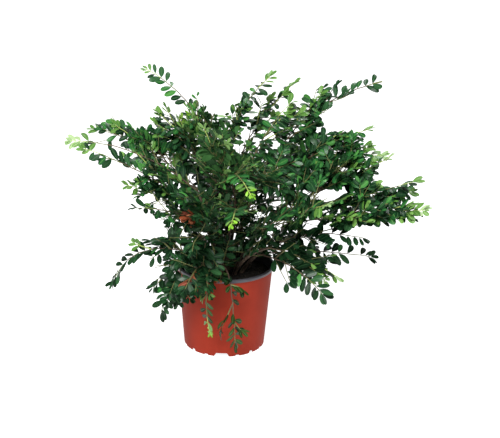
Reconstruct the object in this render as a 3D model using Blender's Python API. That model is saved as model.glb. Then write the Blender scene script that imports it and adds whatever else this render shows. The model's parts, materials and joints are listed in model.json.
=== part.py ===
"""A box-leaved honeysuckle in its round nursery pot, as a Blender 4.5 model.

Metres, +Z up. The origin is the centre of the pot's underside, and the photo looks along +Y.
Stems rise from the soil. Each mass of foliage grows on one arching leader, and its twigs and
leaves follow one seeded rule inside the space that is nearer to its leader than to any other.
"""

import math
import random
from collections import namedtuple

import bmesh
import bpy
import numpy as np
from mathutils.bvhtree import BVHTree

MM = 0.001
GAP = 0.3 * MM

# Pot
POT_HEIGHT = 148 * MM
LIP_RADIUS = 85 * MM
LIP_DEPTH = 6 * MM
BASE_RADIUS = 70.2 * MM
SHOULDER_RADIUS = 82.4 * MM
WALL = 1.6 * MM
FLOOR_UNDERSIDE = 8 * MM
CENTRE_FOOT_RADIUS = 20 * MM
CENTRE_FOOT_SLOPE = 2 * MM
LIP_UNDERCUT = 0.4 * MM
LIP_BEVEL = (0.8 * MM, 0.6 * MM)
POT_STEPS = 40

# Cuts in the pot's foot, and the drain holes in its floor
FOOT_CUTS = 8
WIDE_CUT_EVERY = 4
WIDE_CUT = (18.5 * MM, 26.5 * MM, 6.6 * MM)
NARROW_CUT = (5 * MM, 9 * MM, 4.6 * MM)
SHALLOW_CUT = (5 * MM, 8 * MM, 2.4 * MM)
FRONT_AZIMUTH = 267.5
CUT_INNER_RADIUS = 60 * MM
CUT_OUTER_RADIUS = 80 * MM
DRAIN_CIRCLE = 48 * MM
DRAIN_RADIUS = 5 * MM
DRAIN_SIDES = 12
CUTTER_OVERRUN = 2 * MM

# Soil
SOIL_TOP = 132 * MM
SOIL_FLAT_RADIUS = 48 * MM
SOIL_EDGE_DROP = 3 * MM

# Stems
STEM_FOOT_RADIUS = 3.3 * MM
STEM_TIP_RADIUS = 1.9 * MM
STEM_FLARE = 1.25
STEM_FLARE_HEIGHT = 9 * MM
STEM_SIDES = 7
STEM_RINGS = 7
STEM_LEAN = 0.25
STEM_RISE = 0.6

# Leaders and twigs, three-sided, with the radius of their corners
LEADER_RADIUS = 1.8 * MM
LEADER_TIP_RADIUS = 1.1 * MM
LEADER_RING_GAP = 40 * MM
TWIG_RADIUS = 1.3 * MM
TWIG_SIDES = 3

# Seating of a leader's foot against its stem: shares of the first span that are tested
SEAT_SHARES = (0, 0.05, 0.12, 0.25, 0.45)
SEAT_STEPS = 6

# Leaves, about twice life size so that fewer of them fill the crown
LEAF_LENGTH = 39 * MM
LEAF_WIDTH = 18.5 * MM
LEAF_THICKNESS = 1.4 * MM
LEAF_ROOT_SUNK = 0.7 * MM
LEAF_WIDEST = 0.46
LEAF_SIZES = (1.0, 0.8, 0.62)
LEAF_TRIES = 3

# Growth rule: places along the leader, and the angles in degrees with their seeded spread
SEED = 31
NODE_GAP = 35 * MM
NODE_GAP_SPREAD = (0.9, 1.1)
FIRST_NODE = 16 * MM
LAST_NODE = 4 * MM
TIP_REACH = 0.82
SPRAY_TILT = 38
LEAF_ANGLE = 54
LEAF_ANGLE_SPREAD = 9
LEAF_LIFT = (-12, 26)
LEAF_ROLL = 42
END_LEAF_SUNK = 1.2 * MM

# Side twigs, longest near the leader's inner third
TWIG_LENGTH = 84 * MM
TWIG_LENGTH_SPREAD = (0.85, 1.15)
TWIG_SHORTEST = 20 * MM
TWIG_CUTS = (1.0, 0.75, 0.55)
TWIG_INNER_FULLNESS = 0.7
TWIG_SWELL = 1.2
TWIG_TAPER = 0.72
TWIG_TIP_SHARE = 0.8
TWIG_ANGLE = 52
TWIG_ANGLE_SPREAD = 8
TWIG_LIFT = (-16, 22)
LAST_TWIG_SHARE = 0.85
FIRST_PAIR = 0.75
PAIR_END_ROOM = 0.4

# Clearances
SPACE_MARGIN = 1.0 * MM
LIMB_ROOM = 4.5 * MM
POT_ROOM = 2.5 * MM
GROUND_ROOM = 1.5 * MM

# Sampling of the curves
CURVE_SAMPLES = 48
TANGENT_STEP = 2 * MM

Stem = namedtuple("Stem", "foot_azimuth foot_radius azimuth reach height")
Shoot = namedtuple("Shoot", "name stem along bend sweep crest azimuth reach height")

# Degrees and millimetres, from the pot's axis and its underside
STEMS = {
    "stem_left_back": Stem(150, 14, 119, 46, 321),
    "stem_left": Stem(185, 17, 192, 49, 279),
    "stem_front_left": Stem(230, 18, 243, 84, 249),
    "stem_low_left": Stem(205, 32, 220, 78, 185),
    "stem_centre_back": Stem(100, 12, 81, 61, 315),
    "stem_centre": Stem(35, 6, 8, 35, 301),
    "stem_right_back": Stem(50, 20, 48, 101, 290),
    "stem_right": Stem(5, 18, 0, 103, 257),
    "stem_right_low": Stem(345, 30, 345, 114, 206),
    "stem_front_right": Stem(312, 24, 313, 107, 206),
    "stem_front": Stem(275, 12, 281, 92, 287),
    "stem_pot_front": Stem(262, 36, 267, 72, 177),
    "stem_back_left": Stem(122, 28, 108, 121, 263),
    "stem_back_right": Stem(70, 28, 66, 132, 252),
}

# along: the place on the stem where the leader starts, 1 being its tip. bend: how far out the
# leader bends, as a share of the way to its tip. sweep and crest: how far aside and how high
# the bend's corner lies. azimuth, reach and height: the tip of the furthest leaf.
SHOOTS = (
    Shoot("top_left", "stem_left_back", 1.0, 0.21, 0, 435, 161, 155, 480),
    Shoot("left_upright", "stem_left_back", 0.8, 0.62, -10, 365, 185, 105, 430),
    Shoot("left_upper", "stem_left_back", 0.6, 0.57, 10, 365, 161, 255, 360),
    Shoot("far_left", "stem_left", 1.0, 0.45, 0, 365, 175, 275, 355),
    Shoot("left_second", "stem_left", 0.8, 0.65, 5, 355, 202, 255, 380),
    Shoot("left_inner", "stem_left", 0.55, 0.51, -5, 285, 198, 180, 305),
    Shoot("left_front", "stem_front_left", 1.0, 0.58, -10, 285, 221, 200, 290),
    Shoot("front_left_high", "stem_front_left", 0.78, 0.53, 0, 325, 252, 205, 330),
    Shoot("front_left_low", "stem_front_left", 0.55, 0.68, -5, 265, 253, 175, 225),
    Shoot("left_droop", "stem_low_left", 1.0, 0.79, -5, 210, 197, 200, 125),
    Shoot("left_low", "stem_low_left", 0.75, 0.52, -10, 185, 225, 150, 90),
    Shoot("top_centre_left", "stem_centre_back", 1.0, -0.1, -10, 405, 28, 85, 475),
    Shoot("top_centre", "stem_centre_back", 0.8, 0.3, 5, 390, 33, 140, 455),
    Shoot("back_top", "stem_centre_back", 0.6, 0.39, -5, 330, 99, 140, 360),
    Shoot("top_centre_right", "stem_centre", 1.0, 0.21, -5, 375, 352, 110, 445),
    Shoot("front_upper", "stem_centre", 0.8, 0.55, 0, 335, 296, 145, 370),
    Shoot("top_right", "stem_right_back", 1.0, 0.3, 0, 420, 21, 285, 450),
    Shoot("right_upper", "stem_right_back", 0.8, 0.46, 0, 345, 12, 255, 380),
    Shoot("back_high_right", "stem_right_back", 0.62, 0.4, 0, 350, 62, 175, 385),
    Shoot("right_pale", "stem_right", 1.0, 0.51, 0, 295, 358, 280, 350),
    Shoot("right_far", "stem_right", 0.85, 0.53, 10, 275, 349, 325, 325),
    Shoot("right_furthest", "stem_right", 0.65, 0.52, 15, 255, 342, 350, 290),
    Shoot("right_front", "stem_right_low", 0.7, 0.38, -5, 270, 319, 225, 310),
    Shoot("right_low", "stem_right_low", 1.0, 0.45, 0, 230, 345, 250, 220),
    Shoot("right_lower", "stem_right_low", 0.45, 0.52, -5, 180, 4, 260, 155),
    Shoot("front_right_low", "stem_front_right", 1.0, 0.54, 15, 190, 336, 215, 155),
    Shoot("front_right_droop", "stem_front_right", 0.72, 0.59, -5, 205, 315, 235, 155),
    Shoot("front_right_high", "stem_front_right", 0.5, 0.57, 0, 280, 296, 215, 295),
    Shoot("front_centre", "stem_front", 1.0, 0.35, -30, 400, 282, 220, 340),
    Shoot("front_fan", "stem_front", 0.7, 0.64, 15, 330, 273, 215, 290),
    Shoot("front_crown", "stem_front", 0.86, 0.43, -5, 350, 261, 160, 370),
    Shoot("front_rim", "stem_pot_front", 0.5, 0.61, 0, 210, 246, 160, 150),
    Shoot("pot_front_left", "stem_pot_front", 1.0, 1.5, -15, 172, 259, 110, 55),
    Shoot("pot_front_right", "stem_pot_front", 0.76, 1.25, -14, 180, 281, 110, 35),
    Shoot("back_left", "stem_back_left", 1.0, 0.42, 0, 310, 129, 260, 285),
    Shoot("back_left_low", "stem_back_left", 0.65, 0.43, 5, 250, 124, 255, 175),
    Shoot("back_far", "stem_back_left", 0.84, 0.4, 5, 280, 99, 260, 230),
    Shoot("back_high_left", "stem_back_left", 0.5, 0.35, 0, 345, 118, 165, 390),
    Shoot("back_right", "stem_back_right", 1.0, 0.45, -5, 310, 49, 265, 295),
    Shoot("back_right_low", "stem_back_right", 0.66, 0.45, -10, 245, 40, 290, 180),
    Shoot("back_centre", "stem_back_right", 0.84, 0.4, -10, 285, 78, 265, 235),
    Shoot("back_low", "stem_back_right", 0.5, 0.4, 0, 245, 92, 235, 165),
)

RED_PLASTIC = (0.37, 0.045, 0.025)
DARK_SOIL = (0.012, 0.01, 0.008)
BARK = (0.13, 0.085, 0.05)
DARK_LEAF = (0.018, 0.06, 0.02)
MID_LEAF = (0.03, 0.1, 0.025)


def clear_scene():
    for obj in list(bpy.data.objects):
        bpy.data.objects.remove(obj)


def make_material(name, colour, roughness):
    material = bpy.data.materials.new(name)
    material.use_nodes = True
    shader = material.node_tree.nodes["Principled BSDF"]
    shader.inputs["Base Color"].default_value = (*colour, 1)
    shader.inputs["Roughness"].default_value = roughness
    shader.inputs["Metallic"].default_value = 0
    return material


def make_object(name, mesh, material=None, parent=None):
    obj = bpy.data.objects.new(name, mesh)
    bpy.context.scene.collection.objects.link(obj)
    obj.parent = parent
    if material:
        mesh.materials.append(material)
    return obj


def mesh_of(name, vertices, faces):
    mesh = bpy.data.meshes.new(name)
    mesh.from_pydata([tuple(v) for v in vertices], [], faces)
    mesh.update()
    return mesh


def unit(vector):
    return vector / np.linalg.norm(vector)


def polar(azimuth, reach, height):
    """The point at an azimuth in degrees, a reach from the axis and a height, in metres."""
    angle = math.radians(azimuth)
    return np.array([reach * math.cos(angle), reach * math.sin(angle), height])


def turned(name, profile, steps):
    """A closed solid: the profile's (radius, height) points turned about +Z."""
    shape = bmesh.new()
    points = [shape.verts.new((radius, 0, height)) for radius, height in profile]
    for first, second in zip(points, points[1:]):
        shape.edges.new((first, second))
    bmesh.ops.spin(
        shape,
        geom=shape.verts[:] + shape.edges[:],
        cent=(0, 0, 0),
        axis=(0, 0, 1),
        angle=2 * math.pi,
        steps=steps,
        use_merge=True,
    )
    bmesh.ops.remove_doubles(shape, verts=shape.verts, dist=0.001 * MM)
    bmesh.ops.recalc_face_normals(shape, faces=shape.faces)
    mesh = bpy.data.meshes.new(name)
    shape.to_mesh(mesh)
    shape.free()
    return mesh


def wall_radius(height):
    """The outer radius of the pot's tapered wall."""
    share = height / (POT_HEIGHT - LIP_DEPTH)
    return BASE_RADIUS + (SHOULDER_RADIUS - BASE_RADIUS) * share


def inner_radius(height):
    return wall_radius(height) - WALL


def pot_profile():
    shoulder = POT_HEIGHT - LIP_DEPTH
    floor_top = FLOOR_UNDERSIDE + WALL
    return [
        (0, 0),
        (CENTRE_FOOT_RADIUS, 0),
        (CENTRE_FOOT_RADIUS + CENTRE_FOOT_SLOPE, FLOOR_UNDERSIDE),
        (inner_radius(FLOOR_UNDERSIDE), FLOOR_UNDERSIDE),
        (inner_radius(0), 0),
        (BASE_RADIUS, 0),
        (wall_radius(shoulder), shoulder),
        (LIP_RADIUS, shoulder + LIP_UNDERCUT),
        (LIP_RADIUS, POT_HEIGHT - LIP_BEVEL[1]),
        (LIP_RADIUS - LIP_BEVEL[0], POT_HEIGHT),
        (inner_radius(POT_HEIGHT), POT_HEIGHT),
        (inner_radius(floor_top), floor_top),
        (0, floor_top),
    ]


def foot_cutter(azimuth, top_width, bottom_width, height):
    """A trapezoid block through the pot's foot, wider at the floor."""
    below = -CUTTER_OVERRUN
    slope = (bottom_width - top_width) / height
    widths = ((below, bottom_width - slope * below), (height, top_width))
    vertices = []
    for radius in (CUT_INNER_RADIUS, CUT_OUTER_RADIUS):
        for level, width in widths:
            for side in (-0.5, 0.5):
                vertices.append((radius, side * width, level))
    faces = [(0, 1, 3, 2), (4, 6, 7, 5), (0, 4, 5, 1), (2, 3, 7, 6), (0, 2, 6, 4), (1, 5, 7, 3)]
    turn = math.radians(azimuth)
    turned_vertices = [
        (x * math.cos(turn) - y * math.sin(turn), x * math.sin(turn) + y * math.cos(turn), z)
        for x, y, z in vertices
    ]
    return turned_vertices, faces


def drain_cutter(azimuth):
    """A round plug through the pot's floor."""
    centre = polar(azimuth, DRAIN_CIRCLE, 0)
    vertices = []
    for level in (FLOOR_UNDERSIDE - CUTTER_OVERRUN, FLOOR_UNDERSIDE + WALL + CUTTER_OVERRUN):
        for step in range(DRAIN_SIDES):
            offset = polar(360 * step / DRAIN_SIDES, DRAIN_RADIUS, level)
            vertices.append(centre + offset)
    faces = [tuple(reversed(range(DRAIN_SIDES))), tuple(range(DRAIN_SIDES, 2 * DRAIN_SIDES))]
    for step in range(DRAIN_SIDES):
        following = (step + 1) % DRAIN_SIDES
        faces.append((step, following, DRAIN_SIDES + following, DRAIN_SIDES + step))
    return vertices, faces


def make_cutters():
    """One helper object that holds every cut of the pot's foot and floor."""
    vertices, faces = [], []
    step = 360 / FOOT_CUTS
    for number in range(FOOT_CUTS):
        azimuth = FRONT_AZIMUTH + number * step
        cut = WIDE_CUT if number % WIDE_CUT_EVERY == 0 else NARROW_CUT
        blocks = (
            foot_cutter(azimuth, *cut),
            foot_cutter(azimuth + step / 2, *SHALLOW_CUT),
            drain_cutter(azimuth + step / 2),
        )
        for points, polygons in blocks:
            base = len(vertices)
            vertices += points
            faces += [tuple(base + index for index in polygon) for polygon in polygons]
    mesh = mesh_of("pot_cutter", vertices, faces)
    shape = bmesh.new()
    shape.from_mesh(mesh)
    bmesh.ops.recalc_face_normals(shape, faces=shape.faces)
    shape.to_mesh(mesh)
    shape.free()
    cutter = make_object("pot_cutter", mesh)
    cutter.hide_render = True
    cutter.display_type = "WIRE"
    return cutter


def make_pot(parent):
    material = make_material("red_plastic", RED_PLASTIC, 0.55)
    pot = make_object("pot", turned("pot", pot_profile(), POT_STEPS), material, parent)
    cut = pot.modifiers.new("foot_cuts", "BOOLEAN")
    cut.operation = "DIFFERENCE"
    cut.object = make_cutters()
    cut.solver = "EXACT"
    pot.data.shade_smooth()
    pot.data.set_sharp_from_angle(angle=math.radians(30))


def make_soil(parent):
    bottom = FLOOR_UNDERSIDE + WALL + GAP
    edge = SOIL_TOP - SOIL_EDGE_DROP
    profile = [
        (0, bottom),
        (inner_radius(bottom) - GAP, bottom),
        (inner_radius(edge) - GAP, edge),
        (SOIL_FLAT_RADIUS, SOIL_TOP),
        (0, SOIL_TOP),
    ]
    material = make_material("dark_soil", DARK_SOIL, 0.95)
    make_object("soil", turned("soil", profile, POT_STEPS), material, parent)


def curve_points(start, corner, end, count):
    """Points on the arc from start to end whose end tangents meet at corner."""
    share = np.linspace(0, 1, count)[:, None]
    return (1 - share) ** 2 * start + 2 * share * (1 - share) * corner + share**2 * end


def lengths_along(points):
    steps = np.linalg.norm(np.diff(points, axis=0), axis=1)
    return np.concatenate([[0], np.cumsum(steps)])


def point_at(points, distance):
    along = lengths_along(points)
    return np.array([np.interp(distance, along, points[:, axis]) for axis in range(3)])


def direction_at(points, distance):
    ahead = point_at(points, distance + TANGENT_STEP)
    return unit(ahead - point_at(points, max(distance - TANGENT_STEP, 0)))


def stem_points(stem):
    foot = polar(stem.foot_azimuth, stem.foot_radius * MM, SOIL_TOP + GAP)
    tip = polar(stem.azimuth, stem.reach * MM, stem.height * MM)
    corner = foot + (tip - foot) * np.array([STEM_LEAN, STEM_LEAN, STEM_RISE])
    return curve_points(foot, corner, tip, CURVE_SAMPLES)


def stem_radius(share):
    return STEM_FOOT_RADIUS + (STEM_TIP_RADIUS - STEM_FOOT_RADIUS) * share


def leader_points(shoot, stem):
    """The leader's arc, from just clear of its stem to the tip of its furthest leaf."""
    length = lengths_along(stem)[-1]
    axis_point = point_at(stem, shoot.along * length)
    stem_way = direction_at(stem, min(shoot.along * length, length - TANGENT_STEP))
    tip = polar(shoot.azimuth, shoot.reach * MM, shoot.height * MM)
    outward = tip - axis_point
    outward[2] = 0
    aside = unit(np.array([-outward[1], outward[0], 0]))
    corner = axis_point + shoot.bend * outward + shoot.sweep * MM * aside
    corner[2] = shoot.crest * MM
    leader_way = unit(corner - axis_point)
    cosine = float(leader_way @ stem_way)
    if shoot.along == 1:
        tilt = math.sqrt(max(1 - cosine**2, 0))
        start = axis_point + stem_way * (GAP + LEADER_RADIUS * tilt)
    else:
        side = unit(leader_way - cosine * stem_way)
        reach = stem_radius(shoot.along) + GAP + LEADER_RADIUS * max(cosine, 0)
        start = axis_point + side * reach
    return curve_points(start, corner, tip, CURVE_SAMPLES)


def ring_frames(points, first_side):
    """For each point of a path, its tangent and two directions square to it, without twist."""
    tangents = np.gradient(points, axis=0)
    tangents /= np.linalg.norm(tangents, axis=1)[:, None]
    side = first_side
    frames = []
    for tangent in tangents:
        side = unit(side - (side @ tangent) * tangent)
        frames.append((tangent, side, np.cross(tangent, side)))
    return frames


def tube(points, radii, sides, first_side, flat_foot=False):
    """Vertices and flat faces of a closed tube. A flat foot's first ring lies level."""
    vertices = []
    for index, (tangent, side, other) in enumerate(ring_frames(points, first_side)):
        if flat_foot and index == 0:
            side = unit(np.array([side[0], side[1], 0]))
            other = np.array([-side[1], side[0], 0])
        for corner in range(sides):
            angle = 2 * math.pi * corner / sides
            spoke = math.cos(angle) * side + math.sin(angle) * other
            vertices.append(points[index] + radii[index] * spoke)
    faces = [tuple(reversed(range(sides)))]
    for ring in range(len(points) - 1):
        low = ring * sides
        for corner in range(sides):
            following = (corner + 1) % sides
            near, far = low + corner, low + following
            if len(points) == 2:
                faces.append((near, far, far + sides, near + sides))
            else:
                faces.append((near, far, far + sides))
                faces.append((near, far + sides, near + sides))
    last = (len(points) - 1) * sides
    faces.append(tuple(range(last, last + sides)))
    return vertices, faces


def make_stem(name, points, material, parent):
    """One tapering stem, and the search tree of its surface."""
    length = lengths_along(points)[-1]
    stations = [0, STEM_FLARE_HEIGHT]
    spans = STEM_RINGS - 2
    stations += [
        STEM_FLARE_HEIGHT + (length - STEM_FLARE_HEIGHT) * (span + 1) / spans for span in range(spans)
    ]
    rings = np.array([point_at(points, station) for station in stations])
    radii = [stem_radius(station / length) for station in stations]
    radii[0] *= STEM_FLARE
    vertices, faces = tube(rings, radii, STEM_SIDES, np.array([1.0, 0, 0]), flat_foot=True)
    stem = make_object(name, mesh_of(name, vertices, faces), material, parent)
    stem.data.shade_smooth()
    stem.data.set_sharp_from_angle(angle=math.radians(50))
    return BVHTree.FromPolygons(vertices, faces)


def leaf_shape(root, way, up, size):
    """A thin kite-shaped leaf of six faces, keeled below, whose root crosses the twig's middle."""
    side = unit(np.cross(way, up))
    normal = np.cross(side, way)
    length, width = size * LEAF_LENGTH, size * LEAF_WIDTH
    middle = root + LEAF_WIDEST * length * way
    vertices = [
        root - LEAF_ROOT_SUNK * way,
        middle - 0.5 * width * side,
        middle + 0.5 * width * side,
        middle - LEAF_THICKNESS * normal,
        root + length * way,
    ]
    faces = [(0, 2, 1), (0, 1, 3), (0, 3, 2), (1, 2, 4), (1, 4, 3), (2, 3, 4)]
    return vertices, faces


def leaf_test_points(root, way, up, size):
    """Points over the leaf's blade, for the tests of space and clearance."""
    side = unit(np.cross(way, up))
    length, width = size * LEAF_LENGTH, size * LEAF_WIDTH
    places = (
        (0.2, 0), (0.25, -0.28), (0.25, 0.28), (LEAF_WIDEST, -0.52), (LEAF_WIDEST, 0), (LEAF_WIDEST, 0.52),
        (0.72, -0.28), (0.72, 0), (0.72, 0.28), (1.02, 0),
    )
    return np.array([root + along * length * way + across * width * side for along, across in places])


class Crown:
    """Where every leader and stem runs, to tell which space each mass may use."""

    def __init__(self, stems, leaders):
        self.leader_points = np.concatenate([leaders[name] for name in leaders])
        self.owners = np.concatenate([[index] * CURVE_SAMPLES for index in range(len(leaders))])
        self.stem_points = np.concatenate([stems[name] for name in stems])
        radii = stem_radius(np.linspace(0, 1, CURVE_SAMPLES))
        self.stem_radii = np.tile(radii, len(stems))

    def holds(self, owner, points):
        """Whether all points lie in the owner's space and clear of limbs, pot, soil and ground."""
        away = np.linalg.norm(points[:, None] - self.leader_points[None], axis=2)
        own = away[:, self.owners == owner].min(axis=1)
        other = away[:, self.owners != owner].min(axis=1)
        if (own + SPACE_MARGIN > other).any():
            return False
        from_stems = np.linalg.norm(points[:, None] - self.stem_points[None], axis=2)
        if (from_stems - self.stem_radii < LIMB_ROOM).any():
            return False
        radius = np.hypot(points[:, 0], points[:, 1])
        over_pot = (radius < LIP_RADIUS + POT_ROOM) & (points[:, 2] < POT_HEIGHT + POT_ROOM)
        return not (over_pot | (points[:, 2] < GROUND_ROOM)).any()


class Mass:
    """The growth of one mass: a leader, side twigs in a flat spray, and paired leaves."""

    def __init__(self, owner, leader, stem_surface, crown):
        self.owner = owner
        self.leader = leader
        self.stem_surface = stem_surface
        self.crown = crown
        self.random = random.Random(SEED * 1000 + owner)
        self.pieces = []
        self.level = self.spray_up(leader)

    def spray_up(self, leader):
        """The direction that the flat spray faces, up with a seeded tilt."""
        way = unit(leader[-1] - leader[0])
        across = unit(np.cross(way, [0, 0, 1]))
        tilt = math.radians(self.random.uniform(-SPRAY_TILT, SPRAY_TILT))
        return unit(math.cos(tilt) * np.cross(across, way) + math.sin(tilt) * across)

    def grow(self):
        total = lengths_along(self.leader)[-1]
        length = total - TIP_REACH * LEAF_LENGTH
        rings = max(3, round(length / LEADER_RING_GAP) + 1)
        stations = np.linspace(0, length, rings)
        path = np.array([point_at(self.leader, station) for station in stations])
        radii = np.linspace(LEADER_RADIUS, LEADER_TIP_RADIUS, rings)
        self.seat(path, radii)
        self.pieces.append(tube(path, radii, TWIG_SIDES, self.level))
        self.leader_path = path
        station = FIRST_NODE
        twigs_next = True
        while station < length - LAST_NODE:
            share = station / length
            for side in (-1, 1):
                twig = twigs_next and share < LAST_TWIG_SHARE
                if not (twig and self.add_twig(station, share, side)):
                    self.add_leaf(path, station, side)
            twigs_next = not twigs_next
            station += NODE_GAP * self.random.uniform(*NODE_GAP_SPREAD)
        self.add_end_leaf(path, self.leader[-1])

    def seat(self, path, radii):
        """Moves the leader's foot until its tube stands one gap clear of the stem."""
        for _ in range(SEAT_STEPS):
            corners = np.array(tube(path, radii, TWIG_SIDES, self.level)[0][: 2 * TWIG_SIDES])
            feet, tops = corners[:TWIG_SIDES], corners[TWIG_SIDES:]
            nearest = None
            for share in SEAT_SHARES:
                ring = feet + share * (tops - feet)
                middles = (ring + np.roll(ring, 1, axis=0)) / 2
                for point in np.concatenate([ring, middles]):
                    place, _, _, away = self.stem_surface.find_nearest(point)
                    if nearest is None or away < nearest[0]:
                        nearest = (away, np.array(place) - point)
            away, toward = nearest
            path[0] += (away - GAP) * unit(toward)

    def frame_at(self, path, station):
        way = direction_at(path, station)
        side = unit(np.cross(way, self.level))
        return way, side, np.cross(side, way)

    def add_twig(self, station, share, side):
        way, across, up = self.frame_at(self.leader_path, station)
        angle = math.radians(TWIG_ANGLE + self.random.uniform(-TWIG_ANGLE_SPREAD, TWIG_ANGLE_SPREAD))
        lift = math.radians(self.random.uniform(*TWIG_LIFT))
        flat_way = math.cos(angle) * way + math.sin(angle) * side * across
        twig_way = unit(math.cos(lift) * flat_way + math.sin(lift) * up)
        fullness = min(1, TWIG_INNER_FULLNESS + TWIG_SWELL * share) * (1 - TWIG_TAPER * share)
        length = TWIG_LENGTH * fullness * self.random.uniform(*TWIG_LENGTH_SPREAD)
        root = point_at(self.leader_path, station)
        for cut in TWIG_CUTS:
            if length * cut < TWIG_SHORTEST:
                return False
            outer_parts = np.linspace(0.25, 1, 5)[:, None]
            if self.crown.holds(self.owner, root + outer_parts * length * cut * twig_way):
                break
        else:
            return False
        end = length * cut
        path = np.array([root, root + end * twig_way])
        self.pieces.append(tube(path, (TWIG_RADIUS, TWIG_TIP_SHARE * TWIG_RADIUS), TWIG_SIDES, up))
        pairs = max(1, round(end / NODE_GAP))
        for pair in range(pairs):
            place = end * (pair + FIRST_PAIR) / (pairs + PAIR_END_ROOM)
            for leaf_side in (-1, 1):
                self.add_leaf(path, place, leaf_side)
        self.add_end_leaf(path, None)
        return True

    def add_leaf(self, path, station, side):
        way, across, up = self.frame_at(path, station)
        for _ in range(LEAF_TRIES):
            angle = math.radians(LEAF_ANGLE + self.random.uniform(-LEAF_ANGLE_SPREAD, LEAF_ANGLE_SPREAD))
            lift = math.radians(self.random.uniform(*LEAF_LIFT))
            roll = math.radians(self.random.uniform(-LEAF_ROLL, LEAF_ROLL))
            flat_way = math.cos(angle) * way + math.sin(angle) * side * across
            leaf_way = unit(math.cos(lift) * flat_way + math.sin(lift) * up)
            leaf_side = unit(np.cross(leaf_way, up))
            leaf_up = math.cos(roll) * np.cross(leaf_side, leaf_way) + math.sin(roll) * leaf_side
            if self.place_leaf(point_at(path, station), leaf_way, leaf_up):
                return

    def add_end_leaf(self, path, tip):
        end = lengths_along(path)[-1]
        way, _, up = self.frame_at(path, end)
        root = path[-1] - END_LEAF_SUNK * way
        if tip is not None:
            way = unit(tip - root)
        self.place_leaf(root, way, up)

    def place_leaf(self, root, way, up):
        for size in LEAF_SIZES:
            if self.crown.holds(self.owner, leaf_test_points(root, way, up, size)):
                self.pieces.append(leaf_shape(root, way, up, size))
                return True
        return False


def largest_body(mesh):
    """Keeps the mesh's largest closed body, and drops loose scraps and sealed hollows."""
    shape = bmesh.new()
    shape.from_mesh(mesh)
    bmesh.ops.triangulate(shape, faces=shape.faces)
    waiting = set(shape.verts)
    bodies = []
    while waiting:
        body = {waiting.pop()}
        edge = list(body)
        while edge:
            vertex = edge.pop()
            for link in vertex.link_edges:
                other = link.other_vert(vertex)
                if other not in body:
                    body.add(other)
                    edge.append(other)
        waiting -= body
        bodies.append(body)
    bodies.sort(key=len)
    bmesh.ops.delete(shape, geom=[v for body in bodies[:-1] for v in body], context="VERTS")
    shape.to_mesh(mesh)
    shape.free()


def fuse(name, pieces, material, parent):
    """One object from closed pieces that run into each other, joined by one union."""
    others = bpy.data.collections.new(name + "_pieces")
    bpy.context.scene.collection.children.link(others)
    for number, (vertices, faces) in enumerate(pieces[1:]):
        part_name = f"{name}_piece_{number}"
        others.objects.link(bpy.data.objects.new(part_name, mesh_of(part_name, vertices, faces)))
    vertices, faces = pieces[0]
    mass = make_object(name, mesh_of(name, vertices, faces), material, parent)
    union = mass.modifiers.new("union", "BOOLEAN")
    union.operation = "UNION"
    union.operand_type = "COLLECTION"
    union.collection = others
    union.solver = "MANIFOLD"
    bpy.context.view_layer.update()
    graph = bpy.context.evaluated_depsgraph_get()
    joined = bpy.data.meshes.new_from_object(mass.evaluated_get(graph))
    mass.modifiers.clear()
    mass.data = joined
    for obj in list(others.objects):
        bpy.data.objects.remove(obj)
    bpy.data.collections.remove(others)
    largest_body(joined)
    return mass


def make_plant(parent):
    bark = make_material("bark", BARK, 0.8)
    leaf_materials = (
        make_material("dark_leaf", DARK_LEAF, 0.4),
        make_material("mid_leaf", MID_LEAF, 0.4),
    )
    stems = {name: stem_points(stem) for name, stem in STEMS.items()}
    surfaces = {name: make_stem(name, points, bark, parent) for name, points in stems.items()}
    leaders = {shoot.name: leader_points(shoot, stems[shoot.stem]) for shoot in SHOOTS}
    crown = Crown(stems, leaders)
    for owner, shoot in enumerate(SHOOTS):
        mass = Mass(owner, leaders[shoot.name], surfaces[shoot.stem], crown)
        mass.grow()
        fuse(shoot.name, mass.pieces, leaf_materials[owner % 2], parent)


def main():
    clear_scene()
    plant = bpy.data.objects.new("potted_honeysuckle", None)
    bpy.context.scene.collection.objects.link(plant)
    make_pot(plant)
    make_soil(plant)
    make_plant(plant)


main()
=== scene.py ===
"""Looks of the potted honeysuckle: its leafy crown, bark, compost and red nursery pot.

Metres, +Z up. The origin is the centre of the pot's underside, and the photo looks along +Y.
The stems and leaders run where the solids have them. On each leader the same seeded rule grows
finer twigs and leaves of true size, inside the space nearest to that leader.
"""

import json
import math
import random
from collections import namedtuple

import bmesh
import bpy
import numpy as np
from mathutils import Matrix, Vector, noise

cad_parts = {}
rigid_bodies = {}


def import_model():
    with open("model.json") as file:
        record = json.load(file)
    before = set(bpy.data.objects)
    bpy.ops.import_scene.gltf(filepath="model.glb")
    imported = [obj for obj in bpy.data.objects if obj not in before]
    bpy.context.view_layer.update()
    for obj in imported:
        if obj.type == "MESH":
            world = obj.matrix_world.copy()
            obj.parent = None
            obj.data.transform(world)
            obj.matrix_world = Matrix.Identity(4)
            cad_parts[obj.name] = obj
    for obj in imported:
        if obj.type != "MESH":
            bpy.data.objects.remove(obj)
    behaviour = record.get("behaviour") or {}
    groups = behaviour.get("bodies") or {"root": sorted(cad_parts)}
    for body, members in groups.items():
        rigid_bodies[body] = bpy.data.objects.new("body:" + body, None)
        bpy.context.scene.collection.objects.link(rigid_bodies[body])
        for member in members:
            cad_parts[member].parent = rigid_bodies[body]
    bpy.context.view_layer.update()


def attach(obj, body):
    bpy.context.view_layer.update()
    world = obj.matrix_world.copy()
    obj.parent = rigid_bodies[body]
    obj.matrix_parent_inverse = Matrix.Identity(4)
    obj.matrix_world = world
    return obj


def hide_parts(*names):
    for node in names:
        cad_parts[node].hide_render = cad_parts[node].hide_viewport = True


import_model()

MM = 0.001

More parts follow.
